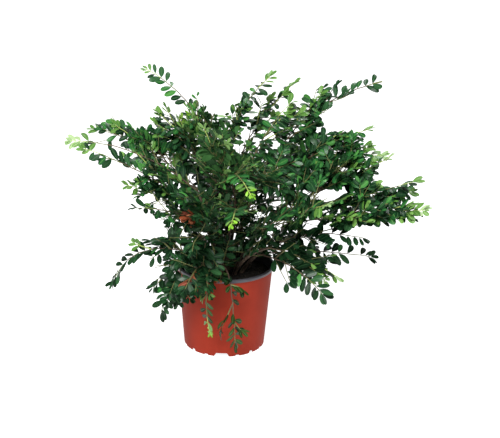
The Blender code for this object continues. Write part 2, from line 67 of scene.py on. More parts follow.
# Pot, as in the solids
POT_HEIGHT = 148 * MM
LIP_RADIUS = 85 * MM
LIP_DEPTH = 6 * MM
BASE_RADIUS = 70.2 * MM
SHOULDER_RADIUS = 82.4 * MM
WALL = 1.6 * MM
FLOOR_UNDERSIDE = 8 * MM
CENTRE_FOOT_RADIUS = 20 * MM
CENTRE_FOOT_SLOPE = 2 * MM
FOOT_CUTS = 8
WIDE_CUT_EVERY = 4
WIDE_CUT = (18.5 * MM, 26.5 * MM, 6.6 * MM)
NARROW_CUT = (5 * MM, 9 * MM, 4.6 * MM)
SHALLOW_CUT = (5 * MM, 8 * MM, 2.4 * MM)
FRONT_AZIMUTH = 267.5
CUT_INNER_RADIUS = 60 * MM
CUT_OUTER_RADIUS = 80 * MM
CUTTER_OVERRUN = 2 * MM
DRAIN_CIRCLE = 48 * MM
DRAIN_RADIUS = 5 * MM
DRAIN_SIDES = 32
POT_STEPS = 160
SEAM = 0.001 * MM
LIP_STEPS = 5
LIP_ROUND = 1 * MM
LIP_BEAD = 0.9 * MM
LIP_LEDGE_DROP = 0.8 * MM
POT_EDGE = 0.5 * MM
WALL_RINGS = 12
WALL_END = 0.6 * MM
LIP_UNDERSIDE = (
    (SHOULDER_RADIUS + 0.5 * MM, 0),
    (LIP_RADIUS - 0.5 * MM, 0.2 * MM),
    (LIP_RADIUS, 0.9 * MM),
)
BEAD_FOOT = (0.4 * MM, 0.1 * MM)
INSIDE_LEVELS = (141 * MM, 132 * MM, 124 * MM)
DARK_FROM = POT_HEIGHT - LIP_DEPTH - 0.3 * MM
POT_SMOOTH = 32

# Compost
SOIL_TOP = 132 * MM
SOIL_FLAT_RADIUS = 48 * MM
SOIL_EDGE_DROP = 3 * MM
SOIL_BOTTOM = FLOOR_UNDERSIDE + WALL + 0.3 * MM
SOIL_RINGS = 34
SOIL_STEPS = 128
SOIL_RELIEF = 1.1 * MM
SOIL_NOISE = ((55, 3.1, 1), (160, 9.7, 0.6), (420, 1.3, 0.35))
SOIL_SMOOTH = 40
SOIL_SEED = 5
CLODS = 620
CLOD_SIZES = (0.9 * MM, 3.4 * MM)
CLOD_SIZE_POWER = 2.2
CLOD_STRETCH = ((0.7, 1.5), (0.6, 1.1), (0.4, 0.8))
CLOD_LUMPS = 0.22
CLOD_EDGE_ROOM = 3 * MM
CLOD_LIFT = 0.15

# Stems
STEM_FOOT_RADIUS = 3.3 * MM
STEM_TIP_RADIUS = 1.9 * MM
STEM_FLARE = 1.25
STEM_FLARE_HEIGHT = 9 * MM
STEM_SUNK = 2.5 * MM
STEM_LEAN = 0.25
STEM_RISE = 0.6
STEM_SIDES = 14
STEM_RING_GAP = 2.4 * MM
STEM_SMOOTH = 70
BARK_RIDGES = 0.09
RIDGE_SCALE = 2.1
RIDGE_ROUND = 1.6
RIDGE_ALONG = 38
BARK_LUMPS = 0.06
LUMP_ALONG = 190
BARK_PHASE = 7.3
NODE_SWELLING = 0.12
NODE_SWELLING_LENGTH = 2.2 * MM
NODE_SPACING = 21 * MM

# Wood: leaders, the twigs on them and the sprigs on those
WOOD_RADII = ((1.4 * MM, 0.6 * MM), (0.85 * MM, 0.5 * MM), (0.6 * MM, 0.42 * MM))
WOOD_SMOOTH = 60
WOOD_GLOSS = (0.6, 0.2)
WOOD_SIDES = 6
WOOD_SIDE = (0.21, 0.31, 0.93)
LEADER_RING_GAP = 9 * MM
TWIG_RINGS = 7
KINK = 0.6 * MM
SOURCE_LEADER_RADIUS = 1.8 * MM
CLEARANCE = 0.3 * MM
CUT_RADIUS = 1.5 * MM
CUT_LENGTH = 17 * MM
CUT_BARE = 28 * MM
THINNEST_CUT = 0.62
OLD_WOOD_FROM = (85 * MM, 45 * MM, 20 * MM)
YOUNG_WOOD = 1.6

# Growth rule, as in the solids but with true-size leaves, finer twigs and inner shoots
LEADER_SEED = 31000
INNER_SEED = 62000
SIDE_SEED = 93000
SPRAY_TILT = 38
CURVE_SAMPLES = 48
TANGENT_STEP = 2 * MM
TIP_ROOM = 7 * MM
FIRST_NODE = 9 * MM
NODE_GAP_SPREAD = (0.85, 1.15)
TWIG_LENGTH = 92 * MM
TWIG_LENGTH_SPREAD = (0.7, 1.2)
TWIG_SHORTEST = 14 * MM
TWIG_CUTS = (1.0, 0.8, 0.62, 0.46, 0.32)
TWIG_INNER_FULLNESS = 0.7
TWIG_SWELL = 1.2
TWIG_TAPER = 0.72
TWIG_ANGLE = 42
TWIG_ANGLE_SPREAD = 10
TWIG_LIFT = (-22, 30)
TWIG_SWING = 22
TWIG_SAG = (-0.05, 0.12)
TWIG_ROLL = 24
TWIG_NODE_GAP = 11 * MM
TWIG_SHARE = 0.5
SPRIG_LENGTH = (18 * MM, 36 * MM)
SPRIG_SHARE = 0.26
SPRIG_BARE = 26 * MM

# Inner shoots, on the stems
INNER_NODE_GAP = 21 * MM
INNER_FIRST_NODE = 14 * MM
INNER_LENGTH = (26 * MM, 70 * MM)
INNER_ANGLE = (38, 68)
INNER_START = (0.7, 1.3)
INNER_SWING = 25
INNER_SIDE = (0.3, 0.9, 0.1)

# Nodes counted back from a shoot's end, where they stand closer
TIP_NODE = 0.7 * MM
TIP_NODE_GAP = 4 * MM
TIP_NODE_GROWTH = 1.5

# Leaves
LEAF_LENGTH = 24 * MM
LEAF_SLENDERNESS = 0.44
LEAF_LENGTH_SPREAD = (0.8, 1.12)
LEAF_WIDTH_SPREAD = (0.88, 1.12)
LEAF_ANGLE = 57
LEAF_TIP_ANGLE = 22
LEAF_ANGLE_SPREAD = 11
LEAF_LIFT = (-14, 26)
LEAF_ROLL = 24
LEAF_OPENING = 1.6
LEAF_TRIES = 3
LEAF_SIZES = (1.0, 0.8)
LEAF_FULL_FROM = 24 * MM
LEAF_LEVEL_FROM = 12 * MM
LEAF_LEVELLING = 0.9
LEVEL_WAY = np.array([0, -0.35, 0.94])
ODD_LEAVES = 0.15
YOUNG_SPREAD = (0.75, 1.25)
YOUNG_ON_TWIGS = 0.3
LEAF_TESTS = ((0.3, -0.4), (0.3, 0.4), (0.75, -0.35), (0.75, 0.35), (1.0, 0))
LEAF_OUTER = 0.35
PETIOLE = 1.6 * MM
PETIOLE_RADIUS = 0.32 * MM
LEAF_THICKNESS = 0.3 * MM
LEAF_ROWS = (0.0, 0.1, 0.28, 0.5, 0.72, 0.88, 0.965)
LEAF_ACROSS = (-1.0, -0.52, -0.07, 0.07, 0.52, 1.0)
LEAF_BASE_POWER = 0.8
LEAF_TIP_POWER = 0.56
LEAF_BASE_WIDTH = 0.06
LEAF_FOLD = (-0.04, 0.3)
LEAF_CROWN = 0.12
LEAF_BEND = (-8, 48)
LEAF_LEAST_BEND = 0.02
LEAF_TWIST = 16
LEAF_SMOOTH = 50
RIB_HALF = 0.1
RIB_GROOVE = 0.12 * MM
STALK_CORNERS = ((-0.8, 0.5), (0.8, 0.5), (0, -1))
LEAF_SPACING = 5.4 * MM
TIP_SPACING_FROM = 9 * MM
# Painted shade: below these heights most leaves take a darker kind of colour, for the shade low in the
# crown. The share grows from none at the first height to the full share at the second.
PAINTED_SHADE_BELOW = (370 * MM, 220 * MM)
PAINTED_SHADE_SHARE = 0.95
PIECE_TRIANGLES = 195000

# Places of withered leaves: azimuth, reach, height and radius, in degrees and millimetres
WITHERED = (
    (220, 78, 244, 15), (244, 146, 162, 9), (250, 168, 291, 9), (265, 120, 158, 8), (60, 60, 205, 12),
)

# Open areas, as corners in the picture's pixels, each convex. No leaf or twig of the finer growth
# shows in a bay: first the compost and rim at the front right, then sky between the sprays.
BAYS = (
    ((226, 270), (240, 260), (262, 257), (272, 257), (272, 275), (256, 292), (238, 287)),
    ((172, 60), (200, 60), (200, 90), (190, 95), (176, 84)),
    ((200, 60), (240, 60), (236, 98), (224, 116), (212, 112), (203, 103), (200, 90)),
    ((290, 60), (345, 60), (340, 78), (310, 90), (303, 80)),
    ((333, 103), (350, 96), (390, 90), (390, 122), (335, 126), (326, 122)),
    ((115, 100), (150, 100), (150, 126), (135, 127), (120, 117)),
    ((80, 95), (116, 95), (118, 112), (108, 116), (84, 118)),
    ((70, 162), (100, 165), (138, 171), (137, 178), (70, 185)),
    ((378, 164), (400, 163), (412, 174), (400, 183), (388, 183), (379, 175)),
    ((321, 186), (334, 188), (341, 197), (338, 201), (323, 202), (319, 196)),
    ((130, 222), (152, 217), (162, 222), (166, 232), (158, 237), (130, 236)),
    ((352, 227), (372, 223), (420, 222), (420, 236), (366, 237), (352, 233)),
    ((336, 264), (380, 264), (380, 275), (343, 276), (335, 272)),
    ((177, 267), (184, 267), (192, 273), (192, 279), (184, 277), (177, 272)),
    ((326, 118), (357, 118), (357, 128), (345, 130), (326, 131)),
    ((385, 165), (430, 165), (430, 171), (398, 186), (385, 186)),
)
# No leaf has its middle in a gap, though a twig may cross it
GAPS = (
    ((168, 102), (189, 106), (190, 111), (181, 112), (170, 107)),
    ((271, 106), (284, 105), (283, 111), (272, 113)),
    ((303, 191), (320, 188), (321, 200), (310, 202), (303, 199)),
    ((105, 144), (122, 146), (130, 151), (118, 153), (104, 154)),
    ((113, 136), (126, 139), (120, 142), (112, 141)), ((130, 152), (142, 155), (146, 160), (134, 157)),
    ((158, 153), (169, 154), (170, 166), (163, 164)), ((240, 110), (249, 110), (250, 116), (243, 117)),
    ((262, 117), (273, 115), (276, 121), (268, 123)), ((283, 104), (290, 109), (286, 116), (277, 115)),
    ((254, 128), (263, 129), (261, 134), (254, 134)), ((268, 129), (278, 131), (276, 136), (267, 136)),
    ((236, 136), (247, 134), (249, 142), (238, 142)), ((318, 115), (328, 108), (334, 126), (322, 126)),
    ((312, 127), (322, 126), (320, 131), (313, 132)), ((274, 264), (290, 266), (292, 285), (276, 290)),
    ((155, 264), (166, 264), (165, 276), (156, 276)), ((322, 228), (332, 226), (334, 233), (324, 234)),
    ((334, 236), (345, 240), (342, 246), (333, 243)), ((352, 242), (372, 243), (366, 249), (352, 249)),
    ((322, 262), (334, 262), (338, 270), (328, 272)), ((145, 262), (158, 262), (160, 280), (147, 284)),
    ((132, 258), (146, 256), (147, 272), (133, 272)), ((150, 300), (157, 301), (160, 328), (150, 328)),
    ((325, 143), (336, 146), (334, 150), (325, 149)), ((302, 80), (317, 84), (318, 96), (302, 99)),
    ((276, 98), (288, 98), (289, 108), (278, 110)), ((91, 136), (104, 137), (107, 146), (93, 147)),
    ((225, 303), (243, 304), (243, 318), (229, 318)),
    ((155, 197), (168, 200), (168, 206), (160, 210), (153, 207)),
    ((134, 168), (141, 166), (145, 172), (136, 178)), ((162, 152), (172, 152), (172, 158), (164, 158)),
    ((165, 160), (173, 160), (172, 167), (165, 166)), ((224, 290), (232, 290), (232, 300), (224, 300)),
    ((232, 84), (246, 84), (240, 98), (231, 98)), ((118, 144), (134, 147), (134, 152), (122, 150)),
    ((146, 149), (162, 150), (160, 155), (148, 154)), ((151, 191), (157, 192), (156, 200), (151, 201)),
    ((90, 131), (104, 133), (114, 137), (108, 139), (94, 138)),
    ((240, 131), (249, 134), (248, 142), (241, 140)), ((252, 133), (259, 137), (259, 146), (253, 146)),
    ((262, 134), (273, 131), (276, 135), (268, 140), (262, 141)),
    ((231, 143), (247, 144), (247, 151), (240, 153), (233, 150)),
    ((270, 143), (283, 140), (281, 148), (271, 150)), ((205, 133), (213, 136), (211, 142), (204, 139)),
    ((150, 149), (156, 149), (160, 157), (154, 158)), ((326, 145), (346, 151), (336, 155), (327, 152)),
    ((336, 163), (345, 164), (350, 169), (346, 174), (336, 171)),
    ((186, 171), (193, 172), (197, 182), (192, 185), (188, 180)),
    ((366, 190), (376, 191), (380, 196), (372, 200), (366, 197)),
    ((141, 192), (151, 192), (151, 200), (141, 203)), ((270, 200), (280, 200), (281, 207), (272, 208)),
    ((284, 205), (294, 203), (295, 209), (286, 209)),
    ((359, 209), (369, 206), (372, 213), (368, 217), (361, 214)),
    ((305, 214), (320, 221), (316, 227), (306, 231), (303, 224)),
    ((271, 222), (283, 218), (288, 221), (280, 228), (273, 229)),
    ((264, 232), (269, 228), (275, 229), (272, 237), (265, 238)),
    ((302, 235), (310, 234), (311, 243), (309, 248), (302, 250), (300, 243)),
    ((317, 243), (323, 243), (330, 250), (324, 258), (318, 256)),
    ((246, 203), (256, 203), (257, 210), (247, 211)), ((255, 211), (263, 211), (263, 217), (256, 218)),
    ((239, 223), (247, 225), (246, 231), (239, 230)), ((228, 232), (237, 232), (237, 239), (229, 239)),
    ((252, 237), (263, 237), (263, 242), (252, 243)), ((180, 229), (190, 229), (189, 235), (181, 236)),
    ((199, 232), (210, 231), (210, 237), (200, 238)), ((290, 214), (297, 214), (297, 220), (290, 220)),
)

# Clearances
TWIG_MARGIN = 3 * MM
LEAF_MARGIN = 5 * MM
LIMB_ROOM = 1.2 * MM
LEADER_ROOM = 2 * MM
POT_ROOM = 1.6 * MM
GROUND_ROOM = 1.5 * MM

# Camera, fitted to the pot's lip, foot and height
CAMERA_PLACE = (0.0415, -2.3933, 1.0921)
CAMERA_PITCH = 19.84
CAMERA_ROLL = 1.14
CAMERA_LENS = 106.53
CAMERA_SENSOR = 36
PICTURE_SIZE = (500, 438)

# Studio
WORLD_STRENGTH = 0.12
FLOOR_HALF = 8
FLOOR_COLOUR = (0.5, 0.5, 0.5)
FLOOR_GLOSS = (0.8, 0.05)
FLOOR_GLOW = 0.88
LIGHT_TARGET = Vector((0, 0, 0.25))
LIGHTS = (
    ("key", (-0.7, -2.2, 2.7), 2.0, 212),
    ("fill", (2.2, -1.6, 1.6), 1.4, 22),
    ("back", (0.5, 2.2, 2.4), 1.4, 40),
)

Stem = namedtuple("Stem", "foot_azimuth foot_radius azimuth reach height")
Shoot = namedtuple("Shoot", "name stem along bend sweep crest azimuth reach height")

# Degrees and millimetres, from the pot's axis and its underside
STEMS = {
    "stem_left_back": (150, 14, 119, 46, 321),
    "stem_left": (185, 17, 192, 49, 279),
    "stem_front_left": (230, 18, 243, 84, 249),
    "stem_low_left": (205, 32, 220, 78, 185),
    "stem_centre_back": (100, 12, 81, 61, 315),
    "stem_centre": (35, 6, 8, 35, 301),
    "stem_right_back": (50, 20, 48, 101, 290),
    "stem_right": (5, 18, 0, 103, 257),
    "stem_right_low": (345, 30, 345, 114, 206),
    "stem_front_right": (312, 24, 313, 107, 206),
    "stem_front": (275, 12, 281, 92, 287),
    "stem_pot_front": (262, 36, 267, 72, 177),
    "stem_back_left": (122, 28, 108, 121, 263),
    "stem_back_right": (70, 28, 66, 132, 252),
}

# The leaders of the masses, as in the solids
SHOOTS = (
    ("top_left", "stem_left_back", 1.0, 0.21, 0, 435, 161, 155, 480),
    ("left_upright", "stem_left_back", 0.8, 0.62, -10, 365, 185, 105, 430),
    ("left_upper", "stem_left_back", 0.6, 0.57, 10, 365, 161, 255, 360),
    ("far_left", "stem_left", 1.0, 0.45, 0, 365, 175, 275, 355),
    ("left_second", "stem_left", 0.8, 0.65, 5, 355, 202, 255, 380),
    ("left_inner", "stem_left", 0.55, 0.51, -5, 285, 198, 180, 305),
    ("left_front", "stem_front_left", 1.0, 0.58, -10, 285, 221, 200, 290),
    ("front_left_high", "stem_front_left", 0.78, 0.53, 0, 325, 252, 205, 330),
    ("front_left_low", "stem_front_left", 0.55, 0.68, -5, 265, 253, 175, 225),
    ("left_droop", "stem_low_left", 1.0, 0.79, -5, 210, 197, 200, 125),
    ("left_low", "stem_low_left", 0.75, 0.52, -10, 185, 225, 150, 90),
    ("top_centre_left", "stem_centre_back", 1.0, -0.1, -10, 405, 28, 85, 475),
    ("top_centre", "stem_centre_back", 0.8, 0.3, 5, 390, 33, 140, 455),
    ("back_top", "stem_centre_back", 0.6, 0.39, -5, 330, 99, 140, 360),
    ("top_centre_right", "stem_centre", 1.0, 0.21, -5, 375, 352, 110, 445),
    ("front_upper", "stem_centre", 0.8, 0.55, 0, 335, 296, 145, 370),
    ("top_right", "stem_right_back", 1.0, 0.3, 0, 420, 21, 285, 450),
    ("right_upper", "stem_right_back", 0.8, 0.46, 0, 345, 12, 255, 380),
    ("back_high_right", "stem_right_back", 0.62, 0.4, 0, 350, 62, 175, 385),
    ("right_pale", "stem_right", 1.0, 0.51, 0, 295, 358, 280, 350),
    ("right_far", "stem_right", 0.85, 0.53, 10, 275, 349, 325, 325),
    ("right_furthest", "stem_right", 0.65, 0.52, 15, 255, 342, 350, 290),
    ("right_front", "stem_right_low", 0.7, 0.38, -5, 270, 319, 225, 310),
    ("right_low", "stem_right_low", 1.0, 0.45, 0, 230, 345, 250, 220),
    ("right_lower", "stem_right_low", 0.45, 0.52, -5, 180, 4, 260, 155),
    ("front_right_low", "stem_front_right", 1.0, 0.54, 15, 190, 336, 215, 155),
    ("front_right_droop", "stem_front_right", 0.72, 0.59, -5, 205, 315, 235, 155),
    ("front_right_high", "stem_front_right", 0.5, 0.57, 0, 280, 296, 215, 295),
    ("front_centre", "stem_front", 1.0, 0.35, -30, 400, 282, 220, 340),
    ("front_fan", "stem_front", 0.7, 0.64, 15, 330, 273, 215, 290),
    ("front_crown", "stem_front", 0.86, 0.43, -5, 350, 261, 160, 370),
    ("front_rim", "stem_pot_front", 0.5, 0.61, 0, 210, 246, 160, 150),
    ("pot_front_left", "stem_pot_front", 1.0, 1.5, -15, 172, 259, 110, 55),
    ("pot_front_right", "stem_pot_front", 0.76, 1.25, -14, 180, 281, 110, 35),
    ("back_left", "stem_back_left", 1.0, 0.42, 0, 310, 129, 260, 285),
    ("back_left_low", "stem_back_left", 0.65, 0.43, 5, 250, 124, 255, 175),
    ("back_far", "stem_back_left", 0.84, 0.4, 5, 280, 99, 260, 230),
    ("back_high_left", "stem_back_left", 0.5, 0.35, 0, 345, 118, 165, 390),
    ("back_right", "stem_back_right", 1.0, 0.45, -5, 310, 49, 265, 295),
    ("back_right_low", "stem_back_right", 0.66, 0.45, -10, 245, 40, 290, 180),
    ("back_centre", "stem_back_right", 0.84, 0.4, -10, 285, 78, 265, 235),
    ("back_low", "stem_back_right", 0.5, 0.4, 0, 245, 92, 235, 165),
)

# How each shoot looks. lean: degrees that its sprays tip towards the front. bare: how far back
# from its end it has no twigs. twigs: its twigs' length, against the rule's. gap: between nodes.
# fresh: the share of its leaves that are mid green, where they aren't young. young: how far back
# from its end its leaves are light. tip: the colour of those in the outer half of that. flat: how
# far its leaves turn level, from 0 to 1. leaf: its leaves' size, against the rule's. end: the size
# of those at its very end. body: the colour of all but its young leaves, where they aren't mid and
# dark green. Lengths are in millimetres.
Look = namedtuple(
    "Look",
    "lean bare twigs gap fresh young tip flat leaf end body",
    defaults=(0, "young", 0.2, 1.0, 0.5, None),
)
LOOKS = {
    "top_left": Look(35, 120, 0.7, 11, 0.25, young=14, leaf=0.9, end=0.4),
    "left_upright": Look(30, 45, 0.9, 12, 0.4, young=14, flat=0.5),
    "left_upper": Look(40, 85, 0.65, 11, 0.2, young=18),
    "far_left": Look(35, 120, 0.5, 14, 0.2, young=54, tip="pale"),
    "left_second": Look(35, 90, 0.55, 12, 0.2, young=12),
    "left_inner": Look(25, 40, 0.9, 12, 0.6, young=24),
    "left_front": Look(15, 55, 0.7, 13, 0.4),
    "front_left_high": Look(10, 40, 0.9, 12, 0.4),
    "front_left_low": Look(0, 40, 0.9, 11, 0.3),
    "left_droop": Look(35, 110, 0.5, 12, 0.2, end=0.85),
    "left_low": Look(25, 65, 0.6, 11, 0.2, end=0.7),
    "top_centre_left": Look(20, 80, 0.4, 8.5, 0.2, young=14, flat=0.95, leaf=1.05, end=0.6),
    "top_centre": Look(20, 90, 0.4, 8.5, 0.2, young=14, flat=0.95, leaf=1.05, end=0.6),
    "back_top": Look(10, 100, 0.5, 13, 0.3, flat=0.9),
    "top_centre_right": Look(20, 150, 0.4, 9, 0.2, young=18, flat=0.95, leaf=1.1, end=0.6),
    "front_upper": Look(10, 45, 0.9, 10, 0.6, flat=0.3, leaf=0.85),
    "top_right": Look(30, 100, 1, 14, 0.25, tip="cut"),
    "right_upper": Look(30, 60, 1, 14, 0.6, young=16, leaf=1.1),
    "back_high_right": Look(0, 130, 0.5, 13, 0.3, young=12, flat=0.9),
    "right_pale": Look(25, 50, 1, 14, 0.6, young=16, tip="pale", leaf=1.1),
    "right_far": Look(25, 55, 1, 13, 0.3, young=8, leaf=1.13, end=0.7),
    "right_furthest": Look(25, 65, 1, 13, 0.4, young=36, tip="pale", leaf=1.13),
    "right_front": Look(10, 50, 0.9, 11, 0.8, young=26, tip="pale"),
    "right_low": Look(25, 65, 0.8, 13, 0.3, end=0.7),
    "right_lower": Look(20, 85, 0.7, 14, 0.2, end=0.8),
    "front_right_low": Look(20, 50, 0.7, 12, 0.1, young=16, tip="pale"),
    "front_right_droop": Look(20, 85, 0.6, 12, 0, end=0.8),
    "front_right_high": Look(10, 45, 0.9, 12, 0.5),
    "front_centre": Look(0, 60, 0.7, 7.5, 0.9, young=26, tip="bright", flat=0.3, leaf=0.75),
    "front_fan": Look(0, 50, 0.7, 7.5, 0.9, young=22, tip="bright", flat=0.3, leaf=0.75),
    "front_crown": Look(0, 45, 0.9, 9, 0.8, flat=0.3, leaf=0.8),
    "front_rim": Look(0, 40, 0.9, 11, 0.2),
    "pot_front_left": Look(0, 60, 0.4, 13, 0, young=24, tip="bright", leaf=0.75, body="hanging"),
    "pot_front_right": Look(0, 200, 0.4, 12, 0, leaf=0.8, end=0.8, body="hanging"),
}
BACK_LOOK = Look(-20, 60, 1, 14, 0.35, young=12)
LEVEL_LOOK = Look(15, 200, 0.5, 9, 0.2, young=8, flat=0.9, leaf=1.05, end=0.7)
FULL_LOOK = Look(25, 25, 0.6, 11, 0.6, flat=0.1)
WITHERED_LOOK = Look(0, 200, 0.5, 6, 0, young=400, tip="withered", flat=0.1, leaf=0.85, end=0.9)
POT_LOOK = Look(0, 200, 0.4, 10, 0, leaf=0.85, end=0.9, body="hanging")
INNER_LOOK = Look(0, 0, 1, 12, 0.25, leaf=0.85)

# Long side shoots that the photo shows: each leaves its parent's leader at a share of its length
# and arches over to its own tip, with its middle raised. Degrees and millimetres, as above.
SideShoot = namedtuple("SideShoot", "parent along azimuth reach height rise look")
SIDE_SHOOTS = (
    ("left_upper", 0.55, 168, 203, 384, 4, Look(35, 50, 0.7, 14, 0.3, young=14)),
    ("left_second", 0.35, 203, 166, 369, 6, Look(30, 40, 0.7, 13, 0.4, young=14)),
    ("top_left", 0.2, 170, 69, 417, 2, Look(15, 30, 0.6, 10, 0.8, young=26, tip="bright")),
    ("left_upright", 0.3, 181, 83, 412, 2, Look(15, 30, 0.6, 10, 0.8, young=24, tip="bright")),
    ("right_upper", 0.5, 7, 251, 350, 8, Look(25, 40, 0.8, 14, 0.5, young=14, leaf=1.13)),
    ("right_pale", 0.5, 354, 252, 337, 6, Look(25, 40, 0.8, 15, 0.3, leaf=1.13)),
    ("right_far", 0.45, 347, 261, 315, 6, Look(20, 40, 0.8, 13, 0.3, young=10, leaf=1.13)),
    ("right_low", 0.3, 350, 238, 236, 8, Look(25, 50, 0.7, 15, 0.3, young=12)),
    ("left_droop", 0.4, 196, 166, 198, 2, Look(25, 60, 0.5, 10, 0.4, young=22)),
    ("left_low", 0.4, 213, 149, 126, 10, Look(25, 40, 0.6, 14, 0.3)),
    ("front_right_low", 0.35, 330, 201, 152, 8, Look(20, 40, 0.6, 13, 0.4, young=16, tip="pale")),
    ("left_droop", 0.2, 198, 134, 209, 6, Look(25, 30, 0.6, 12, 0.3)),
    ("right_pale", 0.25, 349, 213, 355, 8, Look(25, 30, 0.8, 13, 0.4, leaf=1.13)),
    ("right_pale", 0.2, 345, 205, 320, 4, Look(20, 25, 0.8, 13, 0.6, leaf=1.13)),
    ("right_upper", 0.2, 5, 189, 358, 8, Look(20, 25, 0.8, 13, 0.4, leaf=1.13)),
    ("right_far", 0.25, 345, 219, 287, 8, Look(20, 25, 0.7, 12, 0.4, leaf=1.13)),
    ("right_far", 0.62, 351, 320, 300, 4, Look(25, 20, 0.7, 12, 0.3, young=8, leaf=1.1)),
    ("right_furthest", 0.5, 344, 287, 290, 8, Look(25, 20, 0.7, 12, 0.3, leaf=1.13)),
    ("right_furthest", 0.35, 348, 252, 246, 4, Look(20, 20, 0.6, 12, 0.4, leaf=1.13)),
    ("right_furthest", 0.6, 350, 298, 250, 2, Look(25, 25, 0.6, 13, 0.4, leaf=1.13)),
    ("top_right", 0.25, 18, 163, 390, 4, Look(15, 25, 0.6, 14, 0.3)),
    ("left_upper", 0.3, 160, 142, 357, 4, Look(25, 25, 0.7, 12, 0.4)),
    ("left_low", 0.35, 229, 117, 101, 8, Look(20, 20, 0.5, 12, 0.3)),
    ("left_low", 0.2, 209, 116, 168, 6, Look(25, 20, 0.5, 11, 0.3)),
    ("left_droop", 0.15, 196, 111, 231, 10, Look(25, 20, 0.6, 12, 0.4)),
    ("front_crown", 0.3, 253, 127, 432, 10, Look(5, 40, 0.7, 10, 0.7, young=20)),
    ("front_crown", 0.45, 267, 113, 420, 6, Look(5, 30, 0.7, 10, 0.7)),
    ("top_left", 0.12, 167, 27, 416, 4, Look(15, 25, 0.7, 11, 0.5, flat=0.4)),
    ("top_centre_left", 0.5, 71, 28, 425, 2, LEVEL_LOOK),
    ("top_centre_left", 0.35, 103, 20, 409, 4, LEVEL_LOOK),
    ("top_centre", 0.5, 30, 67, 428, 2, LEVEL_LOOK),
    ("top_centre", 0.45, 27, 94, 403, 4, LEVEL_LOOK),
    ("top_centre_right", 0.4, 344, 102, 397, 6, LEVEL_LOOK),
    ("left_upright", 0.5, 181, 126, 399, 6, LEVEL_LOOK),
    ("left_upright", 0.3, 185, 113, 381, 6, LEVEL_LOOK),
    ("right_upper", 0.45, 13, 198, 371, 8, LEVEL_LOOK),
    ("front_upper", 0.25, 0, 124, 337, 10, FULL_LOOK),
    ("front_upper", 0.35, 334, 119, 307, 10, FULL_LOOK),
    ("right_front", 0.35, 337, 134, 318, 10, FULL_LOOK),
    ("right_front", 0.6, 327, 205, 310, 4, FULL_LOOK),
    ("right_low", 0.05, 340, 149, 231, 10, FULL_LOOK),
    ("right_low", 0.1, 334, 141, 205, 6, FULL_LOOK),
    ("front_right_high", 0.4, 317, 158, 276, 6, FULL_LOOK),
    ("left_second", 0.75, 202, 222, 360, 2, FULL_LOOK),
    ("left_inner", 0.7, 197, 159, 282, 2, FULL_LOOK),
    ("right_upper", 0.05, 5, 177, 319, 12, FULL_LOOK),
    ("right_upper", 0.3, 4, 214, 334, 10, FULL_LOOK),
    ("right_upper", 0.6, 10, 234, 364, 4, FULL_LOOK),
    ("right_pale", 0.05, 349, 157, 333, 12, FULL_LOOK),
    ("right_pale", 0.3, 5, 194, 329, 8, FULL_LOOK),
    ("right_pale", 0.6, 353, 247, 321, 2, FULL_LOOK),
    ("right_far", 0.2, 3, 177, 292, 10, FULL_LOOK),
    ("right_far", 0.45, 357, 231, 297, 6, FULL_LOOK),
    ("top_right", 0.35, 27, 138, 411, 4, LEVEL_LOOK),
    ("top_right", 0.45, 26, 160, 416, 2, LEVEL_LOOK),
    ("top_centre_right", 0.3, 4, 123, 401, 6, LEVEL_LOOK),
    ("top_centre_left", 0.4, 73, 47, 413, 4, LEVEL_LOOK),
    ("top_centre", 0.6, 32, 116, 439, 2, LEVEL_LOOK),
    ("top_centre", 0.5, 35, 91, 432, 4, LEVEL_LOOK),
    ("top_centre_right", 0.5, 351, 107, 429, 4, LEVEL_LOOK),
    ("top_centre_right", 0.5, 360, 127, 421, 6, LEVEL_LOOK),
    ("top_right", 0.4, 27, 180, 435, 4, LEVEL_LOOK),
    ("top_right", 0.4, 23, 191, 408, 4, LEVEL_LOOK),
    ("top_left", 0.2, 139, 56, 414, 2, FULL_LOOK),
    ("top_centre_left", 0.25, 94, 45, 388, 4, LEVEL_LOOK),
    ("left_upper", 0.7, 166, 231, 371, 2, FULL_LOOK),
    ("left_upper", 0.5, 169, 173, 384, 6, FULL_LOOK),
    ("left_upper", 0.4, 171, 151, 377, 6, FULL_LOOK),
    ("left_upright", 0.6, 175, 119, 413, 4, LEVEL_LOOK),
    ("right_upper", 0.5, 6, 274, 336, 8, Look(25, 20, 0.6, 12, 0.5, young=26, tip="pale", leaf=1.13)),
    ("right_upper", 0.55, 9, 242, 341, 4, FULL_LOOK),
    ("right_pale", 0.35, 354, 223, 332, 10, FULL_LOOK),
    ("right_furthest", 0.7, 345, 319, 289, 4, Look(25, 20, 0.6, 12, 0.4, young=10, leaf=1.1)),
    ("right_furthest", 0.75, 345, 336, 275, 0, FULL_LOOK),
    ("left_front", 0.3, 228, 139, 242, 8, FULL_LOOK),
    ("left_front", 0.15, 235, 130, 231, 10, FULL_LOOK),
    ("left_droop", 0.08, 217, 103, 230, 8, FULL_LOOK),
    ("left_droop", 0.1, 216, 112, 210, 6, FULL_LOOK),
    ("left_low", 0.2, 219, 122, 151, 10, FULL_LOOK),
    ("left_low", 0.3, 225, 119, 127, 10, FULL_LOOK),
    ("front_rim", 0.4, 248, 119, 135, 12, FULL_LOOK),
    ("front_left_low", 0.3, 252, 113, 165, 14, FULL_LOOK),
    ("front_left_low", 0.2, 263, 96, 186, 14, FULL_LOOK),
    ("front_left_low", 0.4, 237, 119, 186, 10, FULL_LOOK),
    ("right_low", 0.1, 344, 160, 198, 8, FULL_LOOK),
    ("front_left_high", 0.3, 246, 149, 275, 4, WITHERED_LOOK),
    ("front_rim", 0.5, 243, 138, 156, 6, WITHERED_LOOK),
    ("pot_front_right", 0.5, 267, 114, 64, 2, POT_LOOK),
    ("pot_front_right", 0.3, 289, 113, 139, 4, POT_LOOK),
    ("pot_front_right", 0.7, 286, 120, 66, 2, POT_LOOK),
)

